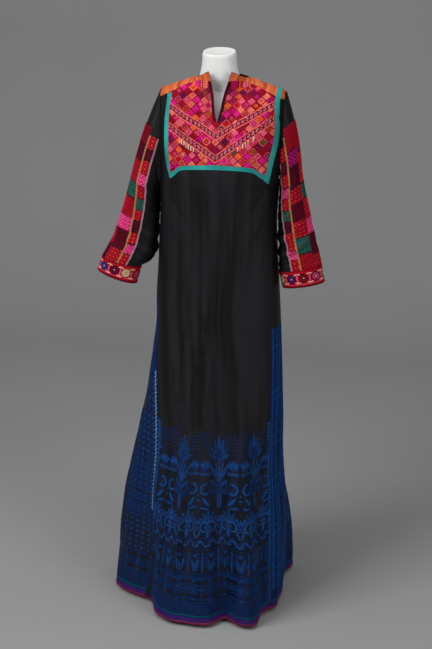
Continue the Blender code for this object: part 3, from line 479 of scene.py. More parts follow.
# ---------------------------------------------------------------- materials
class Nodes:
    """A material's node tree, with a short way to add and join nodes."""

    def __init__(self, name):
        self.material = bpy.data.materials.new(name)
        self.material.use_nodes = True
        self.tree = self.material.node_tree
        self.shader = self.tree.nodes["Principled BSDF"]

    def add(self, kind, links=(), **values):
        node = self.tree.nodes.new("ShaderNode" + kind)
        for key, value in values.items():
            if hasattr(node, key):
                setattr(node, key, value)
            else:
                node.inputs[key.replace("_", " ")].default_value = value
        for socket, source in links:
            self.tree.links.new(source, node.inputs[socket])
        return node

    def join(self, source, socket):
        self.tree.links.new(source, self.shader.inputs[socket])

    def set(self, **values):
        for key, value in values.items():
            self.shader.inputs[key.replace("_", " ")].default_value = value

    def noise(self, where, scale, detail=3.0):
        return self.add("TexNoise", [("Vector", where)], Scale=scale, Detail=detail).outputs["Fac"]

    def waves(self, where, period, across, distortion=0.0):
        """Fine ribs of one period in metres, running along or across the cloth."""
        return self.add("TexWave", [("Vector", where)], wave_type="BANDS", bands_direction=across,
                        Scale=0.314 / period, Distortion=distortion, Detail=1.0).outputs["Fac"]

    def ramp(self, factor, stops):
        node = self.add("ValToRGB", [("Fac", factor)])
        elements = node.color_ramp.elements
        while len(elements) < len(stops):
            elements.new(0.5)
        for element, (place, colour) in zip(elements, stops):
            element.position = place
            element.color = (*colour, 1.0)
        return node.outputs["Color"]

    def shade(self, colour, factor, low, high):
        """The colour, darker and lighter with a factor."""
        scaled = self.add("MapRange", [("Value", factor)])
        scaled.inputs["To Min"].default_value = low
        scaled.inputs["To Max"].default_value = high
        node = self.add("VectorMath", [(0, colour), (1, scaled.outputs["Result"])], operation="MULTIPLY")
        return node.outputs["Vector"]

    def bump(self, height, strength, distance, under=None):
        links = [("Height", height)] + ([("Normal", under)] if under else [])
        return self.add("Bump", links, Strength=strength, Distance=distance).outputs["Normal"]


def weave_material(name, colours, period, rough=(0.6, 0.8), sheen=0.03, bump=0.25, streaks=0.0,
                   specular=0.2, coarse=14.0):
    """Woven cloth: two sets of ribs, with painted shade in their hollows and painted highlight on their
    crowns, cloudy colour between two shades, and soft sheen.
    """
    nodes = Nodes(name)
    where = nodes.add("TexCoord").outputs["UV"]
    solid = nodes.add("TexCoord").outputs["Object"]
    warp = nodes.waves(where, period, "X")
    weft = nodes.waves(where, period, "Y")
    weave = nodes.add("Math", [(0, warp), (1, weft)], operation="MULTIPLY").outputs["Value"]
    cloud = nodes.noise(solid, coarse)
    # Streaks stretch the cloud along the cloth. On the black cloth its lighter and darker streaks are
    # painted fold highlight and painted fold shade; on the orange silk they are the silk's own streaked
    # colour.
    if streaks:
        long = nodes.add("VectorMath", [(0, where)], operation="MULTIPLY")
        long.inputs[1].default_value = (streaks, streaks * 0.06, 1.0)
        cloud = nodes.noise(long.outputs["Vector"], 1.0, 5.0)
    spread = 0.09 if streaks else 0.18
    colour = nodes.ramp(cloud, [(0.5 - spread, colours[0]), (0.5 + spread, colours[1])])
    # Painted shade and highlight: the colour is darkened in the weave's hollows and lightened on its ribs.
    colour = nodes.shade(colour, weave, 0.82, 1.12)
    nodes.join(colour, "Base Color")
    roughness = nodes.add("MapRange", [("Value", cloud)])
    roughness.inputs["To Min"].default_value = rough[0]
    roughness.inputs["To Max"].default_value = rough[1]
    nodes.join(roughness.outputs["Result"], "Roughness")
    nodes.join(nodes.bump(weave, bump, period * 0.4), "Normal")
    nodes.shader.inputs["Sheen Weight"].default_value = sheen
    nodes.shader.inputs["Sheen Roughness"].default_value = 0.4
    nodes.shader.inputs["Sheen Tint"].default_value = (*[min(1.0, c * 3 + 0.1) for c in colours[1]], 1.0)
    nodes.shader.inputs["Specular IOR Level"].default_value = specular
    return nodes.material


def thread_material(name, rough=(0.6, 0.75), sheen=0.0, specular=0.08):
    """Embroidery thread, coloured stitch by stitch, with a twist and uneven dye."""
    nodes = Nodes(name)
    solid = nodes.add("TexCoord").outputs["Object"]
    colour = nodes.add("VertexColor", layer_name="thread").outputs["Color"]
    dye = nodes.noise(solid, 60.0)
    fibre = nodes.noise(solid, 900.0, 2.0)
    colour = nodes.shade(colour, dye, 0.72, 1.28)
    colour = nodes.shade(colour, fibre, 0.85, 1.15)
    nodes.join(colour, "Base Color")
    roughness = nodes.add("MapRange", [("Value", fibre)])
    roughness.inputs["To Min"].default_value = rough[0]
    roughness.inputs["To Max"].default_value = rough[1]
    nodes.join(roughness.outputs["Result"], "Roughness")
    nodes.join(nodes.bump(fibre, 0.3, 0.0004), "Normal")
    nodes.shader.inputs["Sheen Weight"].default_value = sheen
    nodes.shader.inputs["Sheen Roughness"].default_value = 0.35
    nodes.shader.inputs["Specular IOR Level"].default_value = specular
    return nodes.material


def painted_material(name, colours, rough, grain, bump, metallic=0.0):
    """A hard painted or brushed surface with faint mottling."""
    nodes = Nodes(name)
    solid = nodes.add("TexCoord").outputs["Object"]
    cloud = nodes.noise(solid, grain, 4.0)
    nodes.join(nodes.ramp(cloud, [(0.3, colours[0]), (0.7, colours[1])]), "Base Color")
    roughness = nodes.add("MapRange", [("Value", cloud)])
    roughness.inputs["To Min"].default_value = rough[0]
    roughness.inputs["To Max"].default_value = rough[1]
    nodes.join(roughness.outputs["Result"], "Roughness")
    nodes.join(nodes.bump(nodes.noise(solid, grain * 12, 2.0), bump, 0.0005), "Normal")
    nodes.shader.inputs["Metallic"].default_value = metallic
    return nodes.material


# ---------------------------------------------------------------- meshes
def mesh_object(name, vertices, faces, material, uv=None, colour=None, sharp=60.0):
    """An object from arrays: faces all have the same number of corners."""
    mesh = bpy.data.meshes.new(name)
    corners = faces.shape[1]
    used, faces = np.unique(faces, return_inverse=True)
    faces = faces.reshape(-1, corners)
    vertices = np.asarray(vertices, np.float32)[used]
    mesh.vertices.add(len(vertices))
    mesh.vertices.foreach_set("co", vertices.ravel())
    mesh.loops.add(faces.size)
    mesh.loops.foreach_set("vertex_index", faces.ravel().astype(np.int32))
    mesh.polygons.add(len(faces))
    mesh.polygons.foreach_set("loop_start", np.arange(0, faces.size, corners, dtype=np.int32))
    mesh.update(calc_edges=True)
    if uv is not None:
        layer = mesh.uv_layers.new(name="cloth")
        layer.data.foreach_set("uv", np.asarray(uv, np.float32)[used][faces.ravel()].ravel())
    if colour is not None:
        layer = mesh.color_attributes.new("thread", "FLOAT_COLOR", "POINT")
        shades = np.concatenate([colour[used], np.ones((len(used), 1))], 1).astype(np.float32)
        layer.data.foreach_set("color", shades.ravel())
    mesh.shade_smooth()
    mesh.set_sharp_from_angle(angle=math.radians(sharp))
    mesh.materials.append(material)
    piece = bpy.data.objects.new(name, mesh)
    bpy.context.scene.collection.objects.link(piece)
    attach(piece, "root")
    return piece


def grid_normal(place, outward, closed=False):
    """Unit normals of a grid of points, on the side that outward says."""
    if closed:
        wide = np.concatenate([place[:, -3:-1], place, place[:, 1:3]], 1)
        across = np.gradient(wide, axis=1)[:, 2:-2]
    else:
        across = np.gradient(place, axis=1)
    upward = np.gradient(place, axis=0)
    normal = np.cross(across, upward) * outward
    return normal / np.maximum(np.linalg.norm(normal, axis=-1, keepdims=True), 1e-9)


def lengths(place, axis):
    """Arc length along one axis of a grid of points, from its first row or column."""
    steps = np.linalg.norm(np.diff(place, axis=axis), axis=-1)
    start = np.zeros_like(np.take(steps, [0], axis=axis))
    return np.concatenate([start, np.cumsum(steps, axis=axis)], axis=axis)


def shell(name, place, normal, low, high, material, ids=None, outward=1, slit=None):
    """A closed cloth wall on a grid; equal ids are one point, and a slit column stays open."""
    rows, columns = place.shape[:2]
    if ids is None:
        ids = np.arange(rows * columns).reshape(rows, columns)
    quads = np.stack([ids[:-1, :-1], ids[:-1, 1:], ids[1:, 1:], ids[1:, :-1]], -1).reshape(-1, 4)
    keep = (quads[:, 0] != quads[:, 1]) & (quads[:, 2] != quads[:, 3])
    if slit is not None:
        keep &= np.tile(np.arange(columns - 1) != slit, rows - 1)
    quads = quads[keep]
    if outward < 0:
        quads = quads[:, ::-1]
    count = rows * columns
    edges = np.concatenate([quads[:, [i, (i + 1) % 4]] for i in range(4)])
    keys = edges[:, 0] * count + edges[:, 1]
    backwards = edges[:, 1] * count + edges[:, 0]
    rim = edges[~np.isin(keys, backwards)]
    rims = np.stack([rim[:, 0] + count, rim[:, 1] + count, rim[:, 1], rim[:, 0]], -1)
    faces = np.concatenate([quads, quads[:, ::-1] + count, rims])
    flat, out = place.reshape(-1, 3), normal.reshape(-1, 3)
    vertices = np.concatenate([flat + out * high, flat + out * low])
    uv = np.stack([lengths(place, 1), lengths(place, 0)], -1).reshape(-1, 2)
    return mesh_object(name, vertices, faces, material, uv=np.concatenate([uv, uv]))


def stitches(name, place, normal, colour, material, low, high, fill=0.94, seed=0):
    """A small raised cell of thread for each coloured cell of a grid of points."""
    rows, columns = np.nonzero(colour >= 0)
    shades = THREAD_COLOURS[colour[rows, columns]]
    random = np.random.default_rng(seed)
    shades = shades * (1 + 0.16 * (random.random((len(rows), 1)) - 0.5))
    corner = [place[rows, columns], place[rows, columns + 1],
              place[rows + 1, columns + 1], place[rows + 1, columns]]
    out = normal[rows, columns]
    middle = sum(corner) / 4
    points = [middle + (c - middle) * fill + out * low for c in corner] + [middle + out * high]
    vertices = np.stack(points, 1).reshape(-1, 3)
    facing = np.cross(corner[1] - corner[0], corner[3] - corner[0])
    around = [0, 1, 2, 3] if (facing * out).sum() > 0 else [0, 3, 2, 1]
    start = np.arange(len(rows))[:, None] * 5
    faces = np.concatenate([start + [around[i], around[(i + 1) % 4], 4] for i in range(4)])
    return mesh_object(name, vertices, faces, material, colour=np.repeat(shades, 5, 0), sharp=180.0)


# ---------------------------------------------------------------- creases in the body's cloth
# Each crease runs from one direction and height to another; the last two are half its
# width and how far it stands out, less than nothing for a trough.
YOKE_JOIN = 0.002              # the chest panel and left ribbon end this much of a row below the yoke

CREASES = (
    (93.0, 1.120, 108.5, 0.590, 0.013, 0.0085),
    (107.5, 0.640, 112.5, 0.080, 0.016, 0.0085),
    (88.0, 1.120, 101.5, 0.560, 0.018, -0.0085),
    (101.0, 0.600, 104.5, 0.060, 0.020, -0.0060),
    (79.0, 1.180, 84.0, 0.520, 0.024, 0.0062),
    (66.0, 1.000, 71.0, 0.420, 0.020, -0.0070),
    (124.0, 1.020, 132.0, 0.640, 0.022, -0.0060),
    (98.0, 1.235, 95.0, 1.060, 0.006, -0.0022),
    (74.0, 1.225, 72.0, 1.020, 0.009, -0.0020),
    (57.0, 1.215, 52.0, 0.980, 0.012, 0.0022),
    (118.0, 1.215, 121.0, 1.000, 0.012, 0.0024),
    (113.0, 0.790, 108.0, 0.575, 0.005, 0.0026),
    (114.5, 0.800, 110.5, 0.600, 0.007, -0.0030),
    (88.0, 1.010, 85.0, 0.890, 0.007, -0.0024),
    (85.0, 0.890, 82.0, 0.780, 0.008, 0.0020),
    (85.0, 0.870, 90.0, 0.800, 0.006, -0.0016),
    (104.0, 0.975, 146.0, 0.968, 0.005, 0.0012),
    (100.0, 0.925, 146.0, 0.921, 0.005, -0.0014),
    (102.0, 0.880, 144.0, 0.874, 0.005, 0.0011),
    (108.0, 0.826, 142.0, 0.818, 0.006, -0.0013),
    (112.0, 0.778, 144.0, 0.771, 0.005, 0.0011),
    (118.0, 0.655, 142.0, 0.562, 0.008, -0.0022),
    (121.0, 0.690, 146.0, 0.610, 0.009, 0.0022),
    (60.0, 0.930, 40.0, 0.900, 0.006, -0.0012),
    (62.0, 0.862, 36.0, 0.842, 0.006, 0.0012),
    (33.0, 1.235, 58.0, 1.120, 0.010, -0.0030),
    (28.0, 1.200, 50.0, 1.080, 0.011, 0.0026),
    (148.0, 1.235, 122.0, 1.130, 0.010, -0.0030),
    (152.0, 1.195, 130.0, 1.080, 0.011, 0.0026),
    (62.0, 0.520, 64.0, 0.060, 0.013, 0.0040),
    (52.0, 0.560, 49.0, 0.070, 0.014, -0.0050),
    (139.0, 0.520, 141.0, 0.080, 0.016, 0.0040),
    (128.0, 0.500, 127.0, 0.060, 0.014, -0.0050),
    (80.0, 0.330, 83.0, 0.040, 0.012, 0.0030),
    (172.0, 0.700, 176.0, 0.050, 0.016, -0.0050),
    (193.0, 0.600, 192.0, 0.050, 0.014, 0.0045),
    (10.0, 0.800, 14.0, 0.050, 0.014, -0.0045),
    (-9.0, 0.700, -8.0, 0.060, 0.013, 0.0040),
    (250.0, 1.180, 243.0, 0.500, 0.018, -0.0050),
    (262.0, 1.080, 258.0, 0.300, 0.020, 0.0055),
    (272.0, 1.200, 276.0, 0.420, 0.018, -0.0055),
    (284.0, 1.100, 288.0, 0.240, 0.019, 0.0050),
    (298.0, 1.150, 303.0, 0.380, 0.017, -0.0045),
    (226.0, 0.980, 222.0, 0.120, 0.018, 0.0050),
    (312.0, 0.900, 318.0, 0.100, 0.018, 0.0045),
    (236.0, 1.010, 300.0, 1.000, 0.006, -0.0014),
    (234.0, 0.900, 305.0, 0.893, 0.006, 0.0013),
    (240.0, 0.790, 298.0, 0.782, 0.006, -0.0013),
    (214.0, 1.235, 240.0, 1.110, 0.011, -0.0030),
    (322.0, 1.235, 300.0, 1.120, 0.011, -0.0030),
    (268.0, 1.460, 271.0, 1.250, 0.014, -0.0030),
    (244.0, 1.420, 250.0, 1.230, 0.014, 0.0026),
    (296.0, 1.420, 290.0, 1.230, 0.014, 0.0024),
)


def creased(place):
    """Points of the body's cloth with its creases, each a soft ridge or trough."""
    direction = np.degrees(np.arctan2(-place[..., 1], place[..., 0]))
    height = place[..., 2]
    radius = np.maximum(np.hypot(place[..., 0], place[..., 1]), 0.03)
    total = np.zeros(height.shape)
    for start, start_z, end, end_z, half, depth in CREASES:
        slope = (end - start) * math.pi / 180 * 0.15
        rise = end_z - start_z
        along = (direction - start + 180) % 360 - 180
        t = (along * math.pi / 180 * 0.15 * slope + (height - start_z) * rise) / (slope**2 + rise**2)
        inside = np.clip(t, 0, 1)
        across = ((along - (end - start) * inside) * math.pi / 180 * radius)
        upward = height - start_z - rise * inside
        away = np.hypot(across, upward) / (half * (1 + 0.25 * np.sin(t * 7)))
        wave = np.cos(np.clip(away, 0, 1) * math.pi / 2)**2
        total += depth * wave * np.sin(math.pi * np.clip(t, 0.0, 1.0))**0.6
    drift = 0.0007 * np.sin(place[..., 0] * 61 + height * 13) * np.sin(height * 29 + place[..., 1] * 17)
    total = total + drift * smooth((1.5 - height) / 0.1)
    outward = np.stack([place[..., 0] / radius, place[..., 1] / radius, 0 * height], -1)
    return place + outward * total[..., None]


# ---------------------------------------------------------------- grids on the body
def front_place(share, level, side):
    return creased(dress_point(share, level, "front", side))


def ribbon_level(side, share, edge):
    name = ("left" if side < 0 else "right") + edge
    return 1 + curve(PANEL_BOTTOM, BOTTOM_COLUMNS, name, share)


def ribbon_share(side, level, edge):
    name = ("left" if side < 0 else "right") + edge
    return curve(PANEL_SIDES, PANEL_COLUMNS, name, np.clip(level - 1, 0, 1))


def yoke_row(share):
    """The row at which the yoke's silk begins, lowest at the armhole."""
    return curve(YOKE_EDGE, YOKE_COLUMNS, "row", share)


def panel_grid(side, p, q):
    """The chest panel's own grid: p from the slit to the ribbon, q from its bottom to the yoke."""
    p, q = np.meshgrid(p, q)
    share = p * 0.8
    for _ in range(6):
        level = ribbon_level(side, share, "_inner")
        level = level + (1 + yoke_row(share) - YOKE_JOIN - level) * q
        share = p * ribbon_share(side, level, "_inner")
    return share, level


def strip_grid(side, p, q, low_edge, top):
    """The grid of a side ribbon, from the foot of the chest panel up to the top row."""
    p, q = np.meshgrid(p, q)
    share = 0 * p + 0.85
    for _ in range(6):
        level = ribbon_level(side, share, low_edge)
        level = level + (1 + top - level) * q
        inner = ribbon_share(side, level, "_inner")
        share = inner + (ribbon_share(side, level, "_outer") - inner) * p
    return share, level


def both_sides(share, level, split):
    """Left and right halves of a grid side by side; ids join them below the split row."""
    left = front_place(share[0][:, ::-1], level[0][:, ::-1], -1)
    right = front_place(share[1], level[1], 1)
    place = np.concatenate([left, right], 1)
    half = left.shape[1]
    ids = np.arange(place.shape[0] * place.shape[1]).reshape(place.shape[:2])
    joined = np.linalg.norm(place[:, half - 1] - place[:, half], axis=-1) < 1e-4
    joined &= np.arange(len(joined)) < split
    ids[joined, half] = ids[joined, half - 1]
    normal = grid_normal(place, 1)
    mean = normal[joined, half] + normal[joined, half - 1]
    mean /= np.linalg.norm(mean, axis=-1, keepdims=True)
    normal[joined, half] = mean
    normal[joined, half - 1] = mean
    return place, normal, ids, half - 1


# ---------------------------------------------------------------- the skirt's design
# Distances in this section are millimetres on the cloth: u across, v up from the hem.
UNIT = 140.0                    # one repeat of the flower frieze
FLOWER_MIDDLE = 30.0            # a flower's axis, right of the front's middle
NOMINAL_HALF = 230.0            # the front from its middle to a seam, in the design
CELL = 2.3


def folded(u, period, middle=0.0):
    """Distance from the nearest axis of a repeat that mirrors about its axes."""
    return np.abs((u - middle + period / 2) % period - period / 2)


def leaf(u, v, foot, tip, width, vein=0.9):
    """1 inside a leaf, 2 near its middle, 0 outside and along its vein."""
    along = np.array([tip[0] - foot[0], tip[1] - foot[1]], float)
    length = np.hypot(*along)
    along /= length
    t = ((u - foot[0]) * along[0] + (v - foot[1]) * along[1]) / length
    away = np.abs((v - foot[1]) * along[0] - (u - foot[0]) * along[1])
    reach = width * np.sin(np.clip(t, 0, 1) * math.pi)**0.75 * (1.15 - 0.3 * t)
    inside = (t > 0) & (t < 1) & (away < reach)
    value = np.where(inside, 1, 0)
    value = np.where(inside & (away < reach * 0.6), 2, value)
    return np.where(inside & (away < vein) & (reach > 4), 0, value)


def disc(u, v, middle, radius, hole=0.0):
    away = np.hypot(u - middle[0], v - middle[1])
    inside = (away < radius) & (away >= hole)
    return np.where(inside, np.where(away < (radius + hole) * 0.62, 2, 1), 0)


def bar(u, v, low, high, light=False):
    inside = (u >= low[0]) & (u <= high[0]) & (v >= low[1]) & (v <= high[1])
    return np.where(inside, 2 if light else 1, 0)


def over(*layers):
    """Later layers cover earlier ones."""
    result = layers[0]
    for layer in layers[1:]:
        result = np.where(layer != 0, layer, result)
    return result


def crescent(u, v, middle, radius, opening):
    """A moon that opens towards +u or -u, with rays on its outer side."""
    away = np.hypot(u - middle[0], v - middle[1])
    cut = np.hypot(u - middle[0] - opening * radius * 0.5, v - middle[1] - radius * 0.1)
    moon = (away < radius) & (cut > radius * 0.72)
    light = moon & (away > radius * 0.72)
    return np.where(moon, np.where(light, 2, 1), 0)


def carnation(u, v, foot, size):
    """A fan of petals over a small cup on a short stem."""
    parts = [bar(u, v, (foot[0] - 1.2, foot[1] - size * 0.45), (foot[0] + 1.2, foot[1] + size * 0.3))]
    for lean in (-0.95, -0.5, 0.0, 0.5, 0.95):
        tip = (foot[0] + size * 0.8 * math.sin(lean), foot[1] + size * (0.25 + 0.8 * math.cos(lean)))
        parts.append(leaf(u, v, (foot[0], foot[1]), tip, size * 0.16, 0.0))
    cup = (np.abs(u - foot[0]) < size * 0.34 * (1 - (v - foot[1]) / (size * 0.5)))
    cup &= (v > foot[1] - size * 0.05) & (v < foot[1] + size * 0.25)
    parts.append(np.where(cup, 1, 0))
    ribs = (folded(v, 5.2) < 1.2)
    ribs &= (np.abs(u - foot[0]) < size * 0.62) & (np.abs(v - foot[1] + size * 0.35) < 5.5)
    parts.append(np.where(ribs, 2, 0))
    return over(*parts)


def tulip_crown(u, v, base):
    """The large flower: a crown of five petals on a waisted cup; u from its axis."""
    parts = []
    for tip_u, tip_v, width in ((31.0, 46.0, 6.0), (19.0, 66.0, 7.0), (0.0, 78.0, 8.5)):
        parts.append(leaf(u, v - base, (tip_u * 0.28, 8.0), (tip_u, tip_v), width, 1.2))
    parts.append(leaf(u, v - base, (6.0, 6.0), (36.0, 26.0), 6.5, 1.2))
    cup = (u < 14 - 0.32 * np.abs(v - base - 14)) & (v > base) & (v < base + 36)
    parts.append(np.where(cup, 1, 0))
    eyes = disc(u, v - base, (7.5, 27.0), 4.2)
    holes = np.where(eyes > 0, 9, 0)
    parts.append(holes)
    parts.append(bar(u, v - base, (-1, -26), (1.6, 8), True))
    parts.append(disc(u, v - base, (7.5, 27.0), 1.6))
    result = over(*parts)
    return np.where(result == 9, 0, result)


def heart_vase(u, v, base):
    """A cup with two handles and a small crown; u from its axis."""
    bowl = disc(u, v - base, (10.0, 27.0), 15.0, 10.5)
    heart = disc(u, v - base, (5.5, 26.0), 7.0)
    foot = leaf(u, v - base, (0.0, -6.0), (2.0, 20.0), 6.0, 0.0)
    base_bar = bar(u, v - base, (0.0, -8.0), (14.0, -4.0))
    crown = over(leaf(u, v - base, (0.0, 38.0), (0.0, 76.0), 6.5, 1.0),
                 leaf(u, v - base, (3.0, 40.0), (17.0, 68.0), 5.0, 1.0),
                 leaf(u, v - base, (5.0, 40.0), (28.0, 54.0), 4.5, 1.0))
    band = bar(u, v - base, (0.0, 38.0), (18.0, 41.5), True)
    return over(bowl, heart, foot, base_bar, crown, band)


def frieze(u, v):
    """The tall flower frieze of the front and back."""
    axis = folded(u, UNIT, FLOWER_MIDDLE)
    pair = folded(u, UNIT / 2, FLOWER_MIDDLE + UNIT / 4)
    small = folded(u, UNIT / 3, FLOWER_MIDDLE)
    lattice = folded(u, 9.2) + folded(v, 9.2)
    layers = [np.where((lattice < 3.6) & (v < 520), 3, 0)]
    layers.append(np.where((folded(v, 36.8, 8.0) < 1.2) & (v < 400), 3, 0))
    layers.append(tulip_crown(axis, v, 468.0))
    for foot, tip, width in (((3.0, 412.0), (34.0, 466.0), 6.5), ((2.0, 420.0), (17.0, 472.0), 4.5)):
        layers.append(leaf(axis, v, foot, tip, width, 1.2))
    layers.append(bar(axis, v, (-1.0, 404.0), (2.4, 472.0), True))
    bowl = (axis < 33 - 0.02 * (v - 398)**2)
    bowl &= (v > 376) & (v < 410) & ~((axis > 8) & (axis < 22) & (v > 392))
    layers.append(np.where(bowl, 1, 0))
    layers.append(leaf(axis, v, (6.0, 396.0), (30.0, 420.0), 5.0, 1.0))
    stem = (axis < 9) & (v > 336) & (v <= 376) & (folded(v, 6.0) + folded(u, 6.0, FLOWER_MIDDLE) < 3.6)
    layers.append(np.where(stem, 2, 0))
    layers.append(carnation(axis, v, (49.0, 448.0), 30.0))
    layers.append(crescent(axis, v, (47.0, 396.0), 16.5, -1))
    layers.append(crescent(axis, v, (69.0, 372.0), 9.0, -1))
    layers.append(leaf(axis, v, (31.0, 346.0), (56.0, 374.0), 6.5, 0.0))
    layers.append(leaf(axis, v, (36.0, 340.0), (66.0, 346.0), 4.0, 0.0))
    dashes = (v > 500) & (axis > 20) & (folded(v, 9.2) < 2.3) & (folded(u, 9.2) < 2.3)
    layers.append(np.where(dashes, 1, 0))
    layers.append(heart_vase(pair, v, 262.0))
    layers.append(carnation(folded(u, UNIT / 2, FLOWER_MIDDLE), v, (0.0, 292.0), 21.0))
    layers.append(leaf(folded(u, UNIT / 2, FLOWER_MIDDLE), v, (2.0, 256.0), (13.0, 282.0), 4.0, 0.0))
    wave = 241.0 + 8.0 * np.sin(u * 2 * math.pi / (UNIT / 4))
    layers.append(np.where(np.abs(v - wave) < 3.2, 2, 0))
    layers.append(np.where(np.abs(v - wave - 9) < 1.6, 1, 0))
    layers.append(disc(folded(u, UNIT / 4), v, (0.0, 236.0), 5.0, 1.4))
    tree_half = 20 - (216 - v) * 0.36
    tree = (small < tree_half) & (v > 162) & (v < 216)
    outline = tree & (small > tree_half - 5.0)
    rungs = tree & (folded(v, 9.2) < 1.7)
    layers.append(np.where(outline | rungs, 1, 0))
    layers.append(bar(small, v, (-1, 158.0), (1.4, 216.0), True))
    bird = folded(u, UNIT / 3, FLOWER_MIDDLE + UNIT / 6)
    layers.append(leaf(bird, v, (1.0, 160.0), (9.0, 196.0), 7.0, 1.3))
    layers.append(disc(bird, v, (0.0, 206.0), 5.5, 1.8))
    layers.append(np.where((v > 150) & (v < 153.5), 1, 0))
    layers.append(np.where((v > 220.5) & (v < 224), 1, 0))
    layers += squares_and_comb(u, v)
    return over(*layers)


def squares_and_comb(u, v):
    """The low border: dark squares and eight-petalled stars between lines, and a comb."""
    period = UNIT / 3
    square = folded(u, period, FLOWER_MIDDLE)
    star = folded(u, period, FLOWER_MIDDLE + period / 2)
    middle = 107.0
    rise = np.abs(v - middle)
    away, turn = np.hypot(star, rise), np.arctan2(rise, star)
    petals = (away < 19.5) & (np.cos(turn * 8) > -0.35) & (away > 3.0)
    petals &= ~((np.abs(np.sin(turn * 4)) < 0.10 + 1.2 / np.maximum(away, 1)) & (away > 11))
    frame_line = np.maximum(square, rise * 0.62)
    box_line = ((frame_line > 17.5) & (frame_line < 20.5) & (square < 20.5))
    box_line |= (frame_line < 5) & (frame_line > 2)
    dots = (folded(v, 13.8, middle) < 2.3) & (square < 3.5) & (rise < 34)
    bands = ((v > 66) & (v < 69.5)) | ((v > 142) & (v < 146))
    zigzag = (np.abs(folded(u, 18.6) - (v - 129)) < 2.4) & (v > 129) & (v < 140) & (square > 20)
    lower = (np.abs(folded(u, 18.6, 4.0) - (v - 72)) < 2.4) & (v > 71) & (v < 82) & (square > 20)
    comb = (folded(u, 6.9) < 2.0) & (v > 34) & (v < 60)
    lines = ((v > 30) & (v < 34)) | ((v > 60) & (v < 63.5))
    return [np.where(petals, np.where(away < 8, 2, 1), 0), np.where(box_line | dots, 1, 0),
            np.where(zigzag | lower, 2, 0), np.where(bands | comb | lines, 1, 0)]


def hem_stripes(v, design):
    """The plain stripes just above the hem tape."""
    design = np.where((v > 25.0) & (v < 28.5), thread("teal"), design)
    design = np.where((v > 20.5) & (v <= 25.0), thread("blue"), design)
    design = np.where((v > 10.5) & (v <= 20.5), thread("violet"), design)
    return np.where(v <= 10.5, thread("blue"), design)


def blues(design):
    """Turns the design's 0 to 3 into bare cloth, and blue, light blue and deep blue thread."""
    return np.choose(design, [NONE, thread("blue"), thread("light_blue"), thread("deep_blue")])


def frieze_top(u):
    """The uneven upper edge of the frieze, in millimetres above the hem."""
    return 556.0 + 6.0 * np.cos(u / 23.0)


def gore_left_design(u, v):
    """Blue columns of the left gore: u from its front seam, in millimetres."""
    design = np.zeros(u.shape, int)
    column = folded(u, 24.0, 20.0)
    ovals = ((column / 7.5)**2 + (folded(v, 17.0) / 6.2)**2) < 1
    core = ((column / 3.5)**2 + (folded(v, 17.0) / 3.0)**2) < 1
    design = np.where(ovals, np.where(core, 2, 1), design)
    design = np.where((folded(u, 24.0, 8.0) < 1.6) & (folded(v, 8.0) < 2.8), 1, design)
    chevron = np.abs(column - (v % 26.0) * 0.45) < 2.0
    design = np.where(chevron & (v > 420), 1, design)
    waves = folded(v, 11.5, 4.0) < 3.2
    design = np.where(waves & (u > 16) & (v > 250) & (v < 420), 1, design)
    design = blues(design)
    zig = np.abs(u - 8.0 - 3.5 * (2 * np.abs((v / 11.5) % 1 - 0.5) * 2 - 1)) < 2.6
    design = np.where((u < 15) & (v > 220) & (v < 760), thread("deep_blue"), design)
    design = np.where(zig & (u < 15) & (v > 290) & (v < 700), thread("pale_blue"), design)
    border = squares_and_comb(u, v)
    low = over(np.zeros(u.shape, int), *border)
    return np.where(v < 150, blues(low), design)


def gore_right_design(u, v):
    """The right gore: solid blue with columns of dark blocks beside plain stripes."""
    design = np.full(u.shape, thread("blue"))
    column = folded(u, 44.0, 30.0)
    rows = (v / 26.0).astype(int)
    block = (column < 9.5) & (folded(v, 26.0, 6.0) < 7.5)
    design = np.where(block, thread("deep_blue"), design)
    design = np.where(block & ((column < 3.2) ^ (folded(v, 26.0, 6.0) < 2.6)), NONE, design)
    design = np.where((folded(u, 22.0, 8.0) < 1.7), thread("light_blue"), design)
    design = np.where((folded(u, 22.0, 8.0) < 3.4) & (folded(v, 9.2) < 2.3), thread("light_blue"), design)
    design = np.where((rows % 5 == 4) & (folded(v, 26.0) < 2.3), thread("light_blue"), design)
    low = over(np.zeros(u.shape, int), *squares_and_comb(u, v))
    return np.where(v < 64, blues(low), design)


# ---------------------------------------------------------------- the chest panel's design
LATTICE = 17.5                  # one diamond of the lattice, side to side along its edge, mm
LATTICE_COLOURS = ("pink", "magenta", "salmon", "orange", "crimson", "pink", "magenta", "purple",
                   "salmon", "red", "orange", "plum", "pink", "crimson", "magenta", "olive")


def chest_design(u, v):
    """The lattice of coloured diamonds; v runs up from the panel's foot, in millimetres."""
    a, b = (u + v) / math.sqrt(2) / LATTICE, (v - u) / math.sqrt(2) / LATTICE
    i, j = np.floor(a).astype(int), np.floor(b).astype(int)
    away = np.maximum(np.abs(a - i - 0.5), np.abs(b - j - 0.5)) * 2
    pick = (i * 5 + j * 3 + (i * j) % 4 + (i + j) // 3) % len(LATTICE_COLOURS)
    inner = (pick * 7 + i + 3) % len(LATTICE_COLOURS)
    table = np.array([thread(name) for name in LATTICE_COLOURS])
    design = table[pick]
    design = np.where(away < 0.52, table[inner], design)
    design = np.where(away < 0.2, table[pick], design)
    solid = (i * 3 + j * 2) % 5 < 3
    design = np.where(solid & (away < 0.72), table[pick], design)
    design = np.where(~solid & (away > 0.52) & (away < 0.66), thread("crimson"), design)
    checked = (np.floor(u / 2.9) + np.floor(v / 2.9)) % 2 == 0
    design = np.where((away < 0.52) & ((i + 2 * j) % 3 == 0) & checked, thread("red"), design)
    design = np.where(away > 0.84, thread("crimson"), design)
    lines = (away > 0.84) & ((i + j) % 4 == 0)
    design = np.where(lines & ((pick % 3) == 0), thread("salmon"), design)
    return design


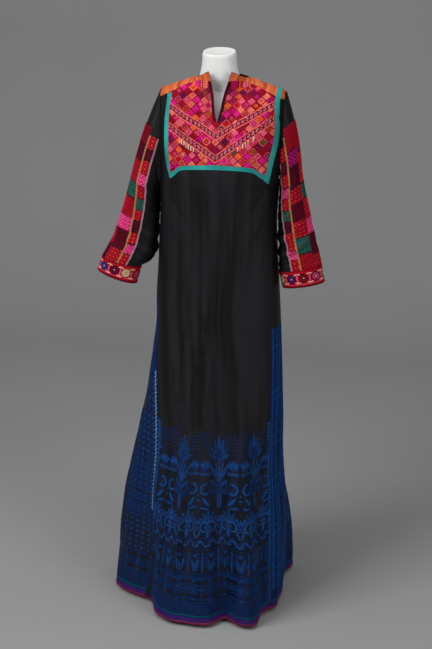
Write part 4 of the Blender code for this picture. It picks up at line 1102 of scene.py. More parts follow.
def chevron_height(u, lift, apex, left, right):
    """The height of a chevron of discs, lowest at its apex, by its slope on either side."""
    return lift + np.abs(u - apex) * np.where(u < apex, left, right)


# Height of the apex, its place across, and the rise to the left and to the right of it.
CHEVRONS = (
    (67.0, 2.0, 0.61, 0.73),
    (126.0, 0.0, 0.57, 0.60),
)


def chevrons(u, v, design):
    """The two chevrons of discs with a chain line beside each, and the ticks below."""
    for lift, apex, left, right in CHEVRONS:
        slope = np.where(u < apex, left, right)
        away = (v - chevron_height(u, lift, apex, left, right)) / np.hypot(1, slope)
        design = np.where(np.abs(away) < 5.4, thread("crimson"), design)
        bead = np.hypot(folded(np.abs(u - apex) * np.hypot(1, slope), 12.4, 6.2), away)
        design = np.where(bead < 3.6, thread("hem_pale"), design)
        design = np.where(bead < 1.8, thread("dark_red"), design)
        chain = (np.abs(away + 8.2) < 1.3) | (np.abs(away - 7.6) < 0.9)
        design = np.where(chain, thread("salmon"), design)
    below = chevron_height(u, *CHEVRONS[0]) - v
    ticks = (below > 11) & (below < 22) & (folded(u, 6.6) < 1.5)
    right_ticks = ticks & (u > 56) & (u < 104)
    left_ticks = ticks & (u < -56) & (u > -100)
    tick_colour = np.where(folded(u, 26.4) < 9.0, thread("cream"), thread("orange"))
    design = np.where(right_ticks, tick_colour, design)
    design = np.where(left_ticks, thread("cream"), design)
    return design


# ---------------------------------------------------------------- the body's pieces
def build_front(paint):
    lower = np.linspace(0, 1, 156)
    below_slit = np.linspace(1, 1 + SLIT_BOTTOM, 20)[1:]
    upper = np.concatenate([below_slit, np.linspace(1 + SLIT_BOTTOM, 2, 26)[1:]])
    level = np.concatenate([lower, upper])
    split = 156 + 18
    share = np.linspace(0, 1, 27)
    share, level = np.meshgrid(share, level)
    place, normal, ids, slit = both_sides((share, share), (level, level), split)
    front = shell("thobe_front", place, normal, *CLOTH, paint["black"], ids, slit=slit)
    design = band_stitches("front_frieze", "front", paint)
    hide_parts("front_panel")
    return front


def band_stitches(name, face, paint):
    """The frieze on the front or the back, from the hem tape up."""
    per_side = 100
    top = 0.566
    rows = int(top / CELL * 1000)
    heights = np.linspace(HEM_TAPE_TOP - 0.007, HEM_HEIGHT + top, rows + 1)
    level = (heights - HEM_HEIGHT) / (UNDERARM_HEIGHT - HEM_HEIGHT)
    halves = []
    for side in (-1, 1):
        share, levels = np.meshgrid(np.linspace(0, 0.997, per_side + 1), level)
        place = creased(dress_point(share, levels, face, side))
        halves.append(place[:, ::-1] if side < 0 else place[:, 1:])
    place = np.concatenate(halves, 1)
    normal = grid_normal(place, 1 if face == "front" else -1)
    u = (np.arange(2 * per_side) - per_side + 0.5) / per_side * NOMINAL_HALF
    v = (heights[:-1] + heights[1:]) / 2 * 1000 - HEM_HEIGHT * 1000
    u, v = np.meshgrid(u, v)
    design = blues(frieze(u, v))
    design = np.where(v > frieze_top(u), NONE, design)
    edge = np.abs(u) > NOMINAL_HALF - 7
    design = np.where(edge & (folded(v, 9.2) < 2.3), thread("light_blue"), design)
    design = np.where(np.abs(u) > NOMINAL_HALF - 2.4, thread("light_blue"), design)
    design = hem_stripes(v, design)
    return stitches(name, place, normal, design, paint["thread"], CLOTH[1] + 0.0001, CLOTH[1] + 0.0010,
                    seed=3 if face == "front" else 4)


def build_back(paint):
    level = np.concatenate([np.linspace(0, 1, 150), np.linspace(1, 2, 42)[1:]])
    share, levels = np.meshgrid(np.linspace(0, 1, 25), level)
    left = creased(dress_point(share, levels, "back", -1))[:, ::-1]
    right = creased(dress_point(share, levels, "back", 1))[:, 1:]
    place = np.concatenate([left, right], 1)
    back = shell("thobe_back", place, grid_normal(place, -1), *CLOTH, paint["black"], outward=-1)
    band = band_stitches("back_frieze", "back", paint)
    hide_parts("back_panel")


def gore_place(side, fraction, height):
    front = seam_direction("front_" + side, height)
    back = seam_direction("back_" + side, height)
    return creased(skirt_point(front + (back - front) * fraction, height))


def build_gore(side, paint):
    height = HEM_HEIGHT + np.linspace(0, 1, 150) * (UNDERARM_HEIGHT - HEM_HEIGHT)
    fraction, heights = np.meshgrid(np.linspace(0, 1, 21), height)
    place = gore_place(side, fraction, heights)
    outward = -1 if side == "left" else 1
    normal = grid_normal(place, outward)
    gore = shell("thobe_gore_" + side, place, normal, *CLOTH, paint["black"], outward=outward)
    columns = 112
    top = 0.93 if side == "left" else 0.84
    rows = int((top - HEM_TAPE_TOP) / CELL * 1000)
    height = np.linspace(HEM_TAPE_TOP - 0.007, top, rows + 1)
    fraction, heights = np.meshgrid(np.linspace(0.003, 0.997, columns + 1), height)
    place = gore_place(side, fraction, heights)
    normal = grid_normal(place, outward)
    across = lengths(place, 1) * 1000
    u = (across[:-1, :-1] + across[1:, 1:]) / 2
    v = (heights[:-1, :-1] + heights[1:, 1:]) * 500 - HEM_HEIGHT * 1000
    width = across[:-1, -1:]
    if side == "left":
        design = gore_left_design(u, v)
        reach = 14 + (920 - v) * 0.16
        bare = (np.minimum(u, width - u) > reach) & (v > 560)
        design = np.where(bare, NONE, design)
    else:
        design = gore_right_design(u, v)
    design = hem_stripes(v, design)
    band = stitches("gore_stitches_" + side, place, normal, design, paint["thread"],
                    CLOTH[1] + 0.0001, CLOTH[1] + 0.0009, seed=5)
    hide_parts("side_gore_" + side)


def build_hem(paint):
    """The corded hem all round, as a rounded band over the edge of the cloth."""
    profile = ((0.0000, 0.0022), (0.0012, 0.0032), (0.0034, 0.0036),
               (0.0056, 0.0034), (0.0074, 0.0026), (0.0080, 0.0018))
    rings = []
    direction = np.linspace(0, 360, 361)[:-1]
    for rise, out in profile:
        height = np.full(360, HEM_HEIGHT + rise)
        point = creased(skirt_point(direction, height))
        beyond = creased(skirt_point(direction, height + 0.004)) - point
        turned = np.roll(point, -1, 0) - np.roll(point, 1, 0)
        normal = np.cross(beyond, turned)
        normal /= np.linalg.norm(normal, axis=-1, keepdims=True)
        normal = normal * np.sign((normal[:, :2] * point[:, :2]).sum(1, keepdims=True))
        rings.append((point, normal, out))
    outer = [point + normal * out for point, normal, out in rings]
    inner = [point + normal * 0.0016 for point, normal, _ in rings]
    loop = outer + inner[::-1]
    count, turns = 360, len(loop)
    number = np.arange(count * turns).reshape(turns, count)
    after = np.roll(number, -1, 0)
    faces = np.stack([number, np.roll(number, -1, 1), np.roll(after, -1, 1), after], -1).reshape(-1, 4)
    around = np.tile(np.linspace(0, 1.6, count), turns)
    up = np.repeat(np.arange(turns) * 0.0014, count)
    piece = mesh_object("hem_cord", np.concatenate(loop), faces[:, ::-1], paint["hem"],
                        uv=np.stack([around, up], -1))
    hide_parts("hem_tape")


# ---------------------------------------------------------------- chest, ribbons and yokes
def build_chest(paint):
    p, q = np.linspace(0, 1, 22), np.linspace(0, 1, 44)
    grids = [panel_grid(side, p, q) for side in (-1, 1)]
    split = int(np.argmax(grids[1][1][:, 0] >= 1 + SLIT_BOTTOM))
    place, normal, ids, slit = both_sides([g[0] for g in grids], [g[1] for g in grids], split)
    ground = shell("chest_ground", place, normal, *TRIM, paint["chest"], ids, slit=slit)
    for side, name in ((-1, "left"), (1, "right")):
        columns, rows = 76, 150
        share, level = panel_grid(side, np.linspace(0, 0.995, columns + 1),
                                  np.linspace(0.004, 0.998, rows + 1))
        place = front_place(share, level, side)
        normal = grid_normal(place, side)
        middle = curve(CHEST, CHEST_COLUMNS, "middle", np.clip(level - 1, 0, 1))
        u = (place[..., 0] - middle) * 1000
        profile = front_place(np.full(200, 0.4), np.linspace(1, 1.8, 200), 1)
        rise = np.interp(place[..., 2], profile[:, 2], lengths(profile[None], 1)[0]) * 1000
        u = (u[:-1, :-1] + u[1:, 1:]) / 2
        v = (rise[:-1, :-1] + rise[1:, 1:]) / 2 - 18
        design = chevrons(u, v, chest_design(u, v))
        inside = share[:-1, :-1]
        slit_edge = (inside < 0.035) & (level[:-1, :-1] > 1 + SLIT_BOTTOM)
        design = np.where(slit_edge, thread("maroon"), design)
        stitches("chest_stitches_" + name, place, normal, design, paint["thread"],
                               TRIM[1] + 0.0001, TRIM[1] + 0.0011, seed=7 + side)
    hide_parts("chest_panel")


def build_ribbons(paint):
    for side, name in ((-1, "left"), (1, "right")):
        top = float(yoke_row(0.9)) - YOKE_JOIN if side < 0 else 1.0
        share, level = strip_grid(side, np.linspace(0, 1, 7), np.linspace(0, 1, 74), "_outer", top)
        place = front_place(share, np.minimum(level, 1.997), side)
        if side > 0:
            place = place + notch(place)
        normal = grid_normal(place, side)
        over_yoke = smooth((level - 1 - yoke_row(share) + YOKE_APPROACH) / YOKE_APPROACH)[..., None]
        place = place + normal * over_yoke * (TRIM_OVER[0] - TRIM[0])
        crown = np.sin(np.linspace(0, 1, 7) * math.pi)**0.5 * 0.0005
        ribbon = shell("ribbon_" + name, place, normal * (1 + crown / TRIM[1])[None, :, None], *TRIM,
                       paint["turquoise"], outward=side)
        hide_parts("chest_ribbon_" + name)
    halves = []
    for side in (-1, 1):
        p, q = np.meshgrid(np.linspace(0, 1, 40), np.linspace(0, 1, 7))
        share = p * 0.8
        for _ in range(6):
            low, high = ribbon_level(side, share, "_outer"), ribbon_level(side, share, "_inner")
            level = low + (high - low) * q
            share = p * ribbon_share(side, level, "_inner")
        place = front_place(share, level, side)
        halves.append(place[:, ::-1] if side < 0 else place[:, 1:])
    place = np.concatenate(halves, 1)
    ribbon = shell("ribbon_bottom", place, grid_normal(place, 1), *TRIM, paint["turquoise"])
    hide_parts("chest_ribbon_bottom")


def notch(place):
    """A small fold across the right ribbon, below the shoulder."""
    away = np.abs(place[..., 2] - 1.432) / 0.013
    depth = -0.0022 * np.cos(np.clip(away, 0, 1) * math.pi / 2)**2
    return np.stack([depth, 0 * depth, 0 * depth], -1)


def build_yokes(paint):
    for side, name in ((-1, "left"), (1, "right")):
        p, q = np.meshgrid(np.linspace(0, 1, 34), np.linspace(0, 1, 22))
        edge = yoke_row(p)
        q = edge + (0.999 - edge) * q
        place = front_place(p, 1 + q, side)
        ripple = 0.0006 * np.sin(p * 26 + q * 9) * np.sin(q * 40)
        normal = grid_normal(place, side)
        place = place + normal * ripple[..., None]
        yoke = shell("yoke_silk_" + name, place, normal, *TRIM, paint["orange"], outward=side)
        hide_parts("yoke_" + name)


# ---------------------------------------------------------------- sleeves
# Bands of colour down a sleeve's patchwork, from the top, each with its length in millimetres.
PATCHES = {
    ("wide", "front", "left"): (("dark_red", 46), ("maroon", 46), ("crimson", 60), ("green", 43),
                                ("crimson", 54),
                                ("magenta", 40), ("maroon", 56), ("red", 40)),
    ("narrow", "front", "left"): (("red", 34), ("maroon", 28), ("red", 37), ("magenta", 32), ("red", 34),
                                ("green", 32),
                                  ("red", 29), ("maroon", 32), ("red", 34), ("magenta", 32), ("red", 30)),
    ("wide", "front", "right"): (("crimson", 62), ("plum", 42), ("maroon", 56), ("red", 44), ("maroon", 48),
                                 ("red", 46), ("green", 46), ("crimson", 44)),
    ("narrow", "front", "right"): (("red", 44), ("maroon", 36), ("red", 40), ("magenta", 34), ("red", 36),
                                ("green", 34),
                                   ("maroon", 38), ("red", 56), ("magenta", 30), ("red", 34)),
    ("wide", "back", "left"): (("crimson", 52), ("red", 50), ("green", 42), ("maroon", 50), ("red", 54),
                               ("magenta", 42), ("crimson", 50), ("maroon", 44)),
    ("narrow", "back", "left"): (("maroon", 40), ("red", 46), ("green", 34), ("red", 48), ("magenta", 36),
                                 ("red", 44), ("maroon", 40), ("red", 40)),
    ("wide", "back", "right"): (("crimson", 80), ("red", 90), ("green", 42), ("red", 56), ("magenta", 44),
                                ("maroon", 58), ("red", 40)),
    ("narrow", "back", "right"): (("red", 60), ("maroon", 40), ("red", 50), ("green", 36), ("red", 44),
                                  ("magenta", 36), ("red", 60)),
}
SHADES = {
    "red": ("red", "crimson", "orange"),
    "crimson": ("crimson", "red", "dark_red"),
    "dark_red": ("dark_red", "crimson", "maroon"),
    "maroon": ("maroon", "dark_red", "purple"),
    "magenta": ("magenta", "pink", "plum"),
    "plum": ("plum", "magenta", "purple"),
    "green": ("green", "teal", "deep_blue"),
}


def wrinkled(side, place, around, along):
    """Sleeve cloth with soft cross wrinkles, strongest at the elbow and above the cuff."""
    inner = 0.5 - 0.5 * np.cos(around * 2 * math.pi)
    elbow = np.exp(-((along - 4.6) / 1.1)**2) + 0.6 * np.exp(-((along - 0.7) / 0.6)**2)
    slant = along * 5.6 + 2.4 * np.cos(around * 2 * math.pi + 0.6) + 1.2 * np.sin(around * 4 * math.pi)
    depth = 0.0026 * np.sin(slant) * elbow * (0.25 + inner)
    depth = depth + 0.0012 * np.sin(slant * 1.9 + 1.0) * inner * smooth(along / 0.8)
    depth = depth * smooth(along / 0.5) * smooth((7.02 - along) / 0.35)
    rings = SLEEVE_LEFT if side == "left" else SLEEVE_RIGHT
    ring = np.clip(along - 1, 0, len(rings) - 1)
    out = ring_point(rings, ring, around) - ring_point(rings, ring, around + 0.5)
    out[..., 2] = 0
    out = out / np.maximum(np.linalg.norm(out, axis=-1, keepdims=True), 1e-6)
    return place + out * depth[..., None]


def sleeve_place(side, around, along):
    last = len(SLEEVE_LEFT)
    around, along = np.broadcast_arrays(around, np.clip(along, 0, last))
    return wrinkled(side, sleeve_point(side, around, along), around % 1.0, along)


def sleeve_lines(side, ring):
    """How far round from the outer line each line of the patchwork runs, at one ring."""
    top, cuff = PATCH_MIDDLE[side]
    middle = top + (cuff - top) * ring / (len(SLEEVE_LEFT) - 1)
    gold = PATCH_WIDE + PATCH_GOLD
    narrow = gold + PATCH_NARROW
    offsets = {"middle": 0.0, "wide": PATCH_WIDE, "gold": gold,
               "narrow": narrow, "silver": narrow + PATCH_SILVER}
    return middle, offsets


STRIP_ROWS = 64                 # rows of a strip's ground cloth


def above_ring(side, around, along):
    """How far each point of a line down the cap lies above the sleeve's first ring."""
    run = lengths(sleeve_place(side, around, along)[None], 1)[0]
    return run[-1] - run


def strip_place(side, face, inner, outer, columns, rows):
    """A grid on the sleeve between two of the patchwork's lines, from its top to the cuff."""
    last = len(SLEEVE_LEFT)
    sign = 1 if face == "front" else -1
    fine = np.linspace(0, 1, 80)

    def around_of(fraction, along):
        ring = np.clip(along - 1, 0, last - 1)
        table = np.linspace(0, last - 1, 25)
        values = []
        for at in table:
            middle, offsets = sleeve_lines(side, at)
            low, high = offsets[inner], offsets[outer]
            values.append(around_at(side, middle + sign * (low + (high - low) * fraction), at))
        return np.interp(ring, table, values)

    reach = WIDE_START if inner == "middle" else NARROW_START
    centre = around_of(0.5, fine * 0)[0]
    top = cap_start(side, centre, reach)
    alongs = top + (last - 0.001 - top) * fine
    track = sleeve_place(side, around_of(0.5, alongs), alongs)
    run = lengths(track[None], 1)[0]
    even = np.interp(np.linspace(0, run[-1], rows + 1), run, alongs)
    place = np.zeros((rows + 1, columns + 1, 3))
    rise = above_ring(side, around_of(0.5, fine), fine)
    for column, fraction in enumerate(np.linspace(0, 1, columns + 1)):
        own = above_ring(side, around_of(fraction, fine), fine)
        cap = np.interp(-np.interp(even, fine, rise), -own, fine)
        along = np.where(even < 1, cap, even)
        place[:, column] = sleeve_place(side, around_of(fraction, along), along)
    return place, run[-1]


def facing(place, side):
    """Which way round a grid on a sleeve faces outward."""
    middle = place[place.shape[0] // 2]
    rows = SLEEVE_LEFT if side == "left" else SLEEVE_RIGHT
    normal = grid_normal(place, 1)[place.shape[0] // 2].mean(0)
    centre = np.array([(rows[3][0] + rows[3][2]) / 2, SLEEVE_Y, middle[:, 2].mean()])
    return 1 if float(normal @ (middle.mean(0) - centre)) > 0 else -1


def patch_design(kind, face, side, u, v, length):
    bands = PATCHES[(kind, face, side)]
    total = sum(size for _, size in bands)
    ends = np.cumsum([size for _, size in bands]) / total * length
    index = np.clip(np.searchsorted(ends, v), 0, len(bands) - 1)
    design = np.zeros(u.shape, int)
    for number, (name, _) in enumerate(bands):
        base, second, third = (thread(shade) for shade in SHADES[name])
        across, down = folded(u, 11.4), folded(v, 11.4)
        local = np.full(u.shape, base)
        local = np.where((across + down > 4.6) & (across + down < 7.0), second, local)
        local = np.where(across + down < 2.4, third, local)
        design = np.where(index == number, local, design)
    edge = np.min(np.abs(v[..., None] - ends[None, None, :-1]), axis=-1)
    return np.where(edge < 1.3, thread("black"), design)


def build_strip(side, face, kind, paint):
    """One column of patchwork or one braid, with its ground and its stitches."""
    lines = {"wide": ("middle", "wide"), "gold": ("wide", "gold"), "narrow": ("gold", "narrow"),
             "silver": ("narrow", "silver")}[kind]
    node = f"{kind}_patches_{face}_{side}" if kind in ("wide", "narrow") else f"{kind}_ribbon_{face}_{side}"
    ground_columns = {"wide": 8, "narrow": 5, "gold": 2, "silver": 2}[kind]
    place, length = strip_place(side, face, *lines, ground_columns, STRIP_ROWS)
    outward = facing(place, side)
    normal = grid_normal(place, outward)
    colour = {"wide": "patch", "narrow": "patch", "gold": "gold", "silver": "silver"}[kind]
    ground = shell(node.replace("patches", "patchwork").replace("ribbon", "braid"), place, normal, TRIM[0],
                   TRIM[1] - 0.0003, paint[colour], outward=outward)
    columns = {"wide": 20, "narrow": 11, "gold": 3, "silver": 3}[kind]
    size = {"wide": PATCH_WIDE, "narrow": PATCH_NARROW, "gold": PATCH_GOLD,
            "silver": PATCH_SILVER}[kind] * 1000
    rows = int(length * 1000 / (size / columns))
    place, length = strip_place(side, face, *lines, columns, rows)
    normal = grid_normal(place, outward)
    u, v = np.meshgrid((np.arange(columns) + 0.5) * size / columns,
                       (np.arange(rows) + 0.5) * length * 1000 / rows)
    if kind in ("wide", "narrow"):
        design = patch_design(kind, face, side, u, v, length * 1000)
    else:
        light, dark = (("gold", "dark_gold") if kind == "gold" else ("silver", "dark_silver"))
        twill = (np.floor(v / 1.5).astype(int) + np.abs(np.arange(columns) - 1)[None, :]) % 3 == 0
        design = np.where(twill, thread(dark), thread(light))
    top = stitches(node + "_stitches", place, normal, design, paint["thread"] if kind in ("wide", "narrow")
                   else paint["metal_thread"], TRIM[1] - 0.0002, TRIM[1] + 0.0008, seed=11)
    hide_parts(node)


def build_sleeve(side, paint):
    last = len(SLEEVE_LEFT)
    sign = -1 if side == "left" else 1
    along = np.concatenate([np.linspace(0, 1, 27), np.linspace(1, last, 44)[1:]])
    around, alongs = np.meshgrid(np.linspace(0, 1, 57), along)
    place = sleeve_place(side, around, alongs)
    ids = np.arange(place.shape[0] * place.shape[1]).reshape(place.shape[:2])
    ids[:, -1] = ids[:, 0]
    normal = grid_normal(place, sign, closed=True)
    sleeve = shell("thobe_sleeve_" + side, place, normal, *CLOTH, paint["black"], ids, outward=sign)
    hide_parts("sleeve_" + side)
    for face in ("front", "back"):
        for kind in ("wide", "gold", "narrow", "silver"):
            build_strip(side, face, kind, paint)
    build_cuff(side, paint)


# ---------------------------------------------------------------- cuffs
ROUNDELS = {
    "left": (("dark_red", "crimson"), ("navy", "blue"), ("maroon", "plum"), ("gold", "cream"),
             ("crimson", "pink"),
             ("navy", "light_blue"), ("maroon", "red"), ("green", "teal"), ("plum", "magenta")),
    "right": (("green", "cream"), ("plum", "pink"), ("dark_red", "crimson"), ("purple", "navy"),
              ("gold", "cream"),
              ("navy", "light_blue"), ("maroon", "plum"), ("crimson", "pink"), ("green", "teal")),
}
ROUNDEL_RADIUS = 12.0


def cuff_place(side, fraction, at):
    rows = CUFF_LEFT if side == "left" else CUFF_RIGHT
    fine = np.linspace(0, 1, 361)
    run = lengths(ring_point(rows, np.full(361, 0.5), fine)[None], 1)[0]
    around = np.interp(fraction * run[-1], run, fine)
    return ring_point(rows, at, around), run[-1]


def build_cuff(side, paint):
    sign = -1 if side == "left" else 1
    fraction, at = np.meshgrid(np.linspace(0, 1, 73), np.linspace(0, 1, 12))
    place, girth = cuff_place(side, fraction, at)
    ids = np.arange(place.shape[0] * place.shape[1]).reshape(place.shape[:2])
    ids[:, -1] = ids[:, 0]
    normal = grid_normal(place, sign, closed=True)
    ground = shell("cuff_ground_" + side, place, normal, *CUFF_WALL, paint["patch"], ids, outward=sign)
    columns, rows = 168, 34
    fraction, at = np.meshgrid(np.linspace(0, 1, columns + 1), np.linspace(0.0, 1.0, rows + 1))
    place, girth = cuff_place(side, fraction, at)
    normal = grid_normal(place, sign, closed=True)
    deep = lengths(place, 0)[-1].mean() * 1000
    u, v = np.meshgrid((np.arange(columns) + 0.5) / columns * girth * 1000,
                       (np.arange(rows) + 0.5) / rows * deep)
    design = cuff_design(side, u, v, girth * 1000, deep)
    top = stitches("cuff_stitches_" + side, place, normal, design, paint["thread"], CUFF_WALL[1] + 0.0001,
                   CUFF_WALL[1] + 0.0010, seed=21)
    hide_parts("cuff_" + side)


def cuff_design(side, u, v, girth, deep):
    """Roundels between crossing arcs on red, with a two-tone border along the mouth."""
    colours = ROUNDELS[side]
    count = len(colours)
    pitch = girth / count
    start = {"left": 0.50, "right": 0.50}[side]
    number = np.floor(u / pitch + start).astype(int) % count
    across = (u / pitch + start) % 1.0 - 0.5
    across = across * pitch
    middle = deep * 0.46
    away = np.hypot(across, v - middle)
    design = np.full(u.shape, thread("red"))
    arcs = np.abs(np.hypot(across - np.sign(across) * pitch / 2, v - middle) - ROUNDEL_RADIUS * 1.08)
    design = np.where((arcs < 1.1) & (np.abs(v - middle) > 6), thread("cream"), design)
    bridge = (np.abs(np.abs(across) - pitch / 2) < 1.6) & (np.abs(v - middle) < 12)
    design = np.where(bridge, thread("pink"), design)
    turn = np.arctan2(v - middle, across)
    for index, (outer, inner) in enumerate(colours):
        here = number == index
        petal = np.cos(turn * 8) > -0.1
        design = np.where(here & (away < ROUNDEL_RADIUS), thread(outer), design)
        design = np.where(here & (away < ROUNDEL_RADIUS * 0.8) & petal, thread(inner), design)
        design = np.where(here & (away < ROUNDEL_RADIUS * 0.34), thread(outer), design)
        design = np.where(here & (away < ROUNDEL_RADIUS * 0.14), thread("cream"), design)
    design = np.where((away > ROUNDEL_RADIUS) & (away < ROUNDEL_RADIUS * 1.12), thread("maroon"), design)
    design = np.where(v > deep - 9, thread("red"), design)
    design = np.where(v > deep - 5, thread("dark_red"), design)
    design = np.where((v > deep - 10.5) & (v < deep - 9), thread("pink"), design)
    return np.where(v < 2.6, thread("crimson"), design)


# ---------------------------------------------------------------- the dress form and its stand
def build_form(paint):
    heights = [row[0] for row in FORM_TORSO]
    columns = ("height", "middle", "half_x", "half_y")
    spans = [np.linspace(a, b, 5)[:-1] for a, b in zip(heights, heights[1:])]
    fine = np.concatenate(spans + [[heights[-1]]])
    count = 112
    angle = np.linspace(0, 2 * math.pi, count + 1)[:-1]
    power = 2 / FORM_SQUARE
    across = np.sign(np.cos(angle)) * np.abs(np.cos(angle))**power
    deep = np.sign(np.sin(angle)) * np.abs(np.sin(angle))**power

    def ring(height, shrink=0.0, lift=0.0):
        half_x = float(curve(FORM_TORSO, columns, "half_x", height)) - shrink
        half_y = float(curve(FORM_TORSO, columns, "half_y", height)) - shrink
        middle = float(curve(FORM_TORSO, columns, "middle", height))
        y = deep * half_y
        tilt = NECK_TILT * float(smooth((height - NECK_TILT_START) / 0.03))
        return np.stack([middle + across * half_x, y, height + lift + y * tilt], -1)

    top = heights[-1]
    torso = [ring(height) for height in fine] + [ring(top, 0.0015, 0.0003), ring(top, 0.03, 0.0003)]
    closed_rings("form_body", torso, paint["form"], "form_torso")
    cap = [ring(top, NECK_CAP_INSET, lift) for lift in (0.0005, 0.0035)]
    cap += [ring(top, NECK_CAP_INSET + 0.0009, 0.0054), ring(top, NECK_CAP_INSET + 0.0028, 0.0062)]
    cap += [ring(top, NECK_CAP_INSET + 0.005, 0.0056), ring(top, NECK_CAP_INSET + 0.030, 0.0056)]
    closed_rings("form_cap", cap, paint["form"], "form_neck_cap")
    for name, material in (("form_pole", "steel"), ("form_base", "base")):
        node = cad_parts[name]
        node.data.materials.clear()
        node.data.materials.append(paint[material])


def closed_rings(name, rings, material, node):
    """A closed solid through rings of points, with a point at each end."""
    count = len(rings[0])
    points = np.concatenate(rings + [rings[0].mean(0)[None], rings[-1].mean(0)[None]])
    number = np.arange(count * len(rings)).reshape(len(rings), count)
    after = np.roll(number, -1, 1)
    walls = np.stack([number[:-1], after[:-1], after[1:], number[1:]], -1).reshape(-1, 4)
    faces = np.concatenate([walls[:, [0, 1, 2]], walls[:, [0, 2, 3]]])
    bottom, top = count * len(rings), count * len(rings) + 1
    ends = np.concatenate([np.stack([after[0], number[0], np.full(count, bottom)], -1),
                           np.stack([number[-1], after[-1], np.full(count, top)], -1)])
    piece = mesh_object(name, points, np.concatenate([faces, ends]), material, sharp=40.0)
    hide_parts(node)


# ---------------------------------------------------------------- floor, light and camera
CAMERA_AZIMUTH = math.radians(8.0)
CAMERA_DISTANCE = 4.5
CAMERA_HEIGHT = 2.25
CAMERA_DIP = math.radians(17.54)
CAMERA_LENS = 92.64             # mm, on a picture 36 mm high
CAMERA_SHIFT = -0.0054


def build_stage():
    """Studio paper curving up behind the dress; its back is clear, so it hides no view."""
    nodes = Nodes("studio_paper")
    solid = nodes.add("TexCoord").outputs["Object"]
    cloud = nodes.noise(solid, 1.2, 4.0)
    nodes.join(nodes.ramp(cloud, [(0.3, (0.34, 0.34, 0.34)), (0.7, (0.36, 0.36, 0.36))]), "Base Color")
    nodes.join(nodes.bump(nodes.noise(solid, 300.0, 2.0), 0.05, 0.0005), "Normal")
    nodes.shader.inputs["Roughness"].default_value = 0.9
    nodes.shader.inputs["Specular IOR Level"].default_value = 0.1
    behind = nodes.add("NewGeometry").outputs["Backfacing"]
    clear = nodes.add("BsdfTransparent").outputs["BSDF"]
    one_sided = nodes.add("MixShader", [(0, behind), (1, nodes.shader.outputs["BSDF"]), (2, clear)])
    nodes.tree.links.new(one_sided.outputs["Shader"], nodes.tree.nodes["Material Output"].inputs["Surface"])
    run = [(-4.0, 0.0)]
    run += [(2.2 + 1.2 * math.sin(t), 1.2 - 1.2 * math.cos(t)) for t in np.linspace(0, math.pi / 2, 16)]
    run += [(3.4, 5.0)]
    vertices = [(x, y, z) for y, z in run for x in (-6.0, 6.0)]
    faces = np.array([[2 * i, 2 * i + 1, 2 * i + 3, 2 * i + 2] for i in range(len(run) - 1)])
    mesh = bpy.data.meshes.new("studio_backdrop")
    mesh.from_pydata(vertices, [], faces.tolist())
    mesh.shade_smooth()
    mesh.materials.append(nodes.material)
    floor = bpy.data.objects.new("studio_backdrop", mesh)
    bpy.context.scene.collection.objects.link(floor)


def add_light(name, place, target, size, power, colour=(1.0, 1.0, 1.0)):
    data = bpy.data.lights.new(name, "AREA")
    data.shape = "RECTANGLE"
    data.size, data.size_y = size
    data.energy = power
    data.color = colour
    light = bpy.data.objects.new(name, data)
    light.location = place
    light.rotation_euler = (Vector(target) - Vector(place)).to_track_quat("-Z", "Y").to_euler()
    bpy.context.scene.collection.objects.link(light)


def build_lights():
    add_light("key_light", (-2.2, -2.4, 3.2), (0, 0, 1.2), (2.0, 2.4), 105.0)
    add_light("fill_light", (3.0, -2.8, 2.2), (0, 0, 0.8), (1.6, 2.4), 52.0)
    add_light("top_light", (0.0, -0.6, 4.2), (0, 0, 0.6), (2.4, 2.0), 40.0)
    world = bpy.data.worlds.new("studio")
    world.use_nodes = True
    world.node_tree.nodes["Background"].inputs["Color"].default_value = (0.62, 0.63, 0.65, 1.0)
    world.node_tree.nodes["Background"].inputs["Strength"].default_value = 0.22
    bpy.context.scene.world = world


def build_camera():
    data = bpy.data.cameras.new("camera")
    data.sensor_fit = "VERTICAL"
    data.sensor_height = 36.0
    data.lens = CAMERA_LENS
    data.shift_x = CAMERA_SHIFT
    camera = bpy.data.objects.new("camera", data)
    sine, cosine = math.sin(CAMERA_AZIMUTH), math.cos(CAMERA_AZIMUTH)
    camera.location = (CAMERA_DISTANCE * sine, -CAMERA_DISTANCE * cosine, CAMERA_HEIGHT)
    ahead = Vector((-sine * math.cos(CAMERA_DIP), cosine * math.cos(CAMERA_DIP), -math.sin(CAMERA_DIP)))
    camera.rotation_euler = ahead.to_track_quat("-Z", "Y").to_euler()
    bpy.context.scene.collection.objects.link(camera)
    bpy.context.scene.camera = camera


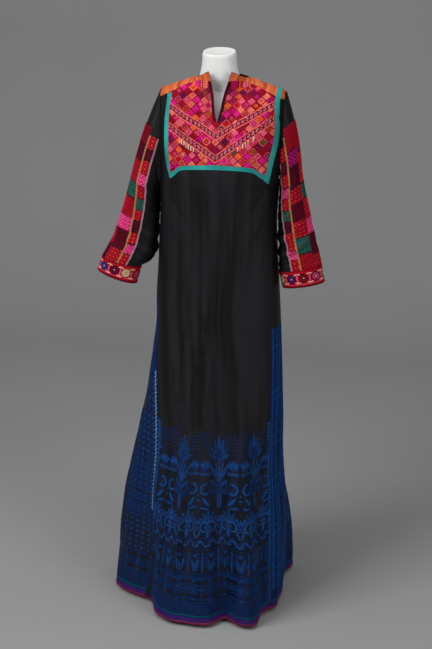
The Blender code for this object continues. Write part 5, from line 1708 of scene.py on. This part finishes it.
# ---------------------------------------------------------------- all together
def make_paint():
    # The black cloth's two tones, drawn out in streaks, are painted fold highlight and painted fold shade.
    black = (linear(9, 8, 10), linear(29, 27, 32))
    return {
        "black": weave_material("black_cotton", black, 0.0014, (0.42, 0.58), 0.0, 0.35, streaks=30.0,
                                specular=0.2),
        "chest": weave_material("red_ground", (linear(150, 16, 44), linear(182, 26, 56)), 0.0014),
        "patch": weave_material("patch_ground", (linear(110, 10, 36), linear(160, 14, 40)), 0.0014),
        "turquoise": weave_material("turquoise_silk", (linear(26, 140, 138), linear(44, 176, 168)), 0.0016,
                                    (0.45, 0.6), 0.03, 0.4),
        "orange": weave_material("orange_silk", (linear(186, 70, 34), linear(236, 122, 66)), 0.0012,
                                 (0.36, 0.5), 0.03, 0.2, streaks=90.0, specular=0.3),
        "gold": weave_material("gold_braid", (linear(150, 98, 52), linear(206, 158, 92)),
                              0.0012, (0.35, 0.5)),
        "silver": weave_material("silver_braid", (linear(170, 130, 136), linear(222, 196, 200)),
                              0.0012, (0.35, 0.5)),
        "hem": weave_material("hem_cord_silk", (linear(84, 10, 50), linear(128, 22, 78)),
                              0.0016, (0.4, 0.55)),
        "thread": thread_material("embroidery_thread"),
        "metal_thread": thread_material("metal_thread", (0.4, 0.55), 0.0, 0.35),
        "form": painted_material("form_white", (linear(226, 226, 224), linear(236, 236, 234)),
                                 (0.42, 0.52), 6.0, 0.05),
        "steel": painted_material("satin_steel", (linear(176, 177, 180), linear(196, 197, 200)),
                                  (0.28, 0.4), 40.0,
                                  0.1, 1.0),
        "base": painted_material("grey_powder_coat", (linear(150, 150, 152), linear(168, 168, 170)),
                                 (0.5, 0.65),
                                 60.0, 0.2),
    }


def main():
    bpy.context.scene.view_settings.view_transform = "Standard"
    build_camera()
    build_stage()
    build_lights()
    paint = make_paint()
    build_front(paint)
    build_back(paint)
    for side in ("left", "right"):
        build_gore(side, paint)
    build_hem(paint)
    build_chest(paint)
    build_ribbons(paint)
    build_yokes(paint)
    for side in ("left", "right"):
        build_sleeve(side, paint)
    build_form(paint)


main()
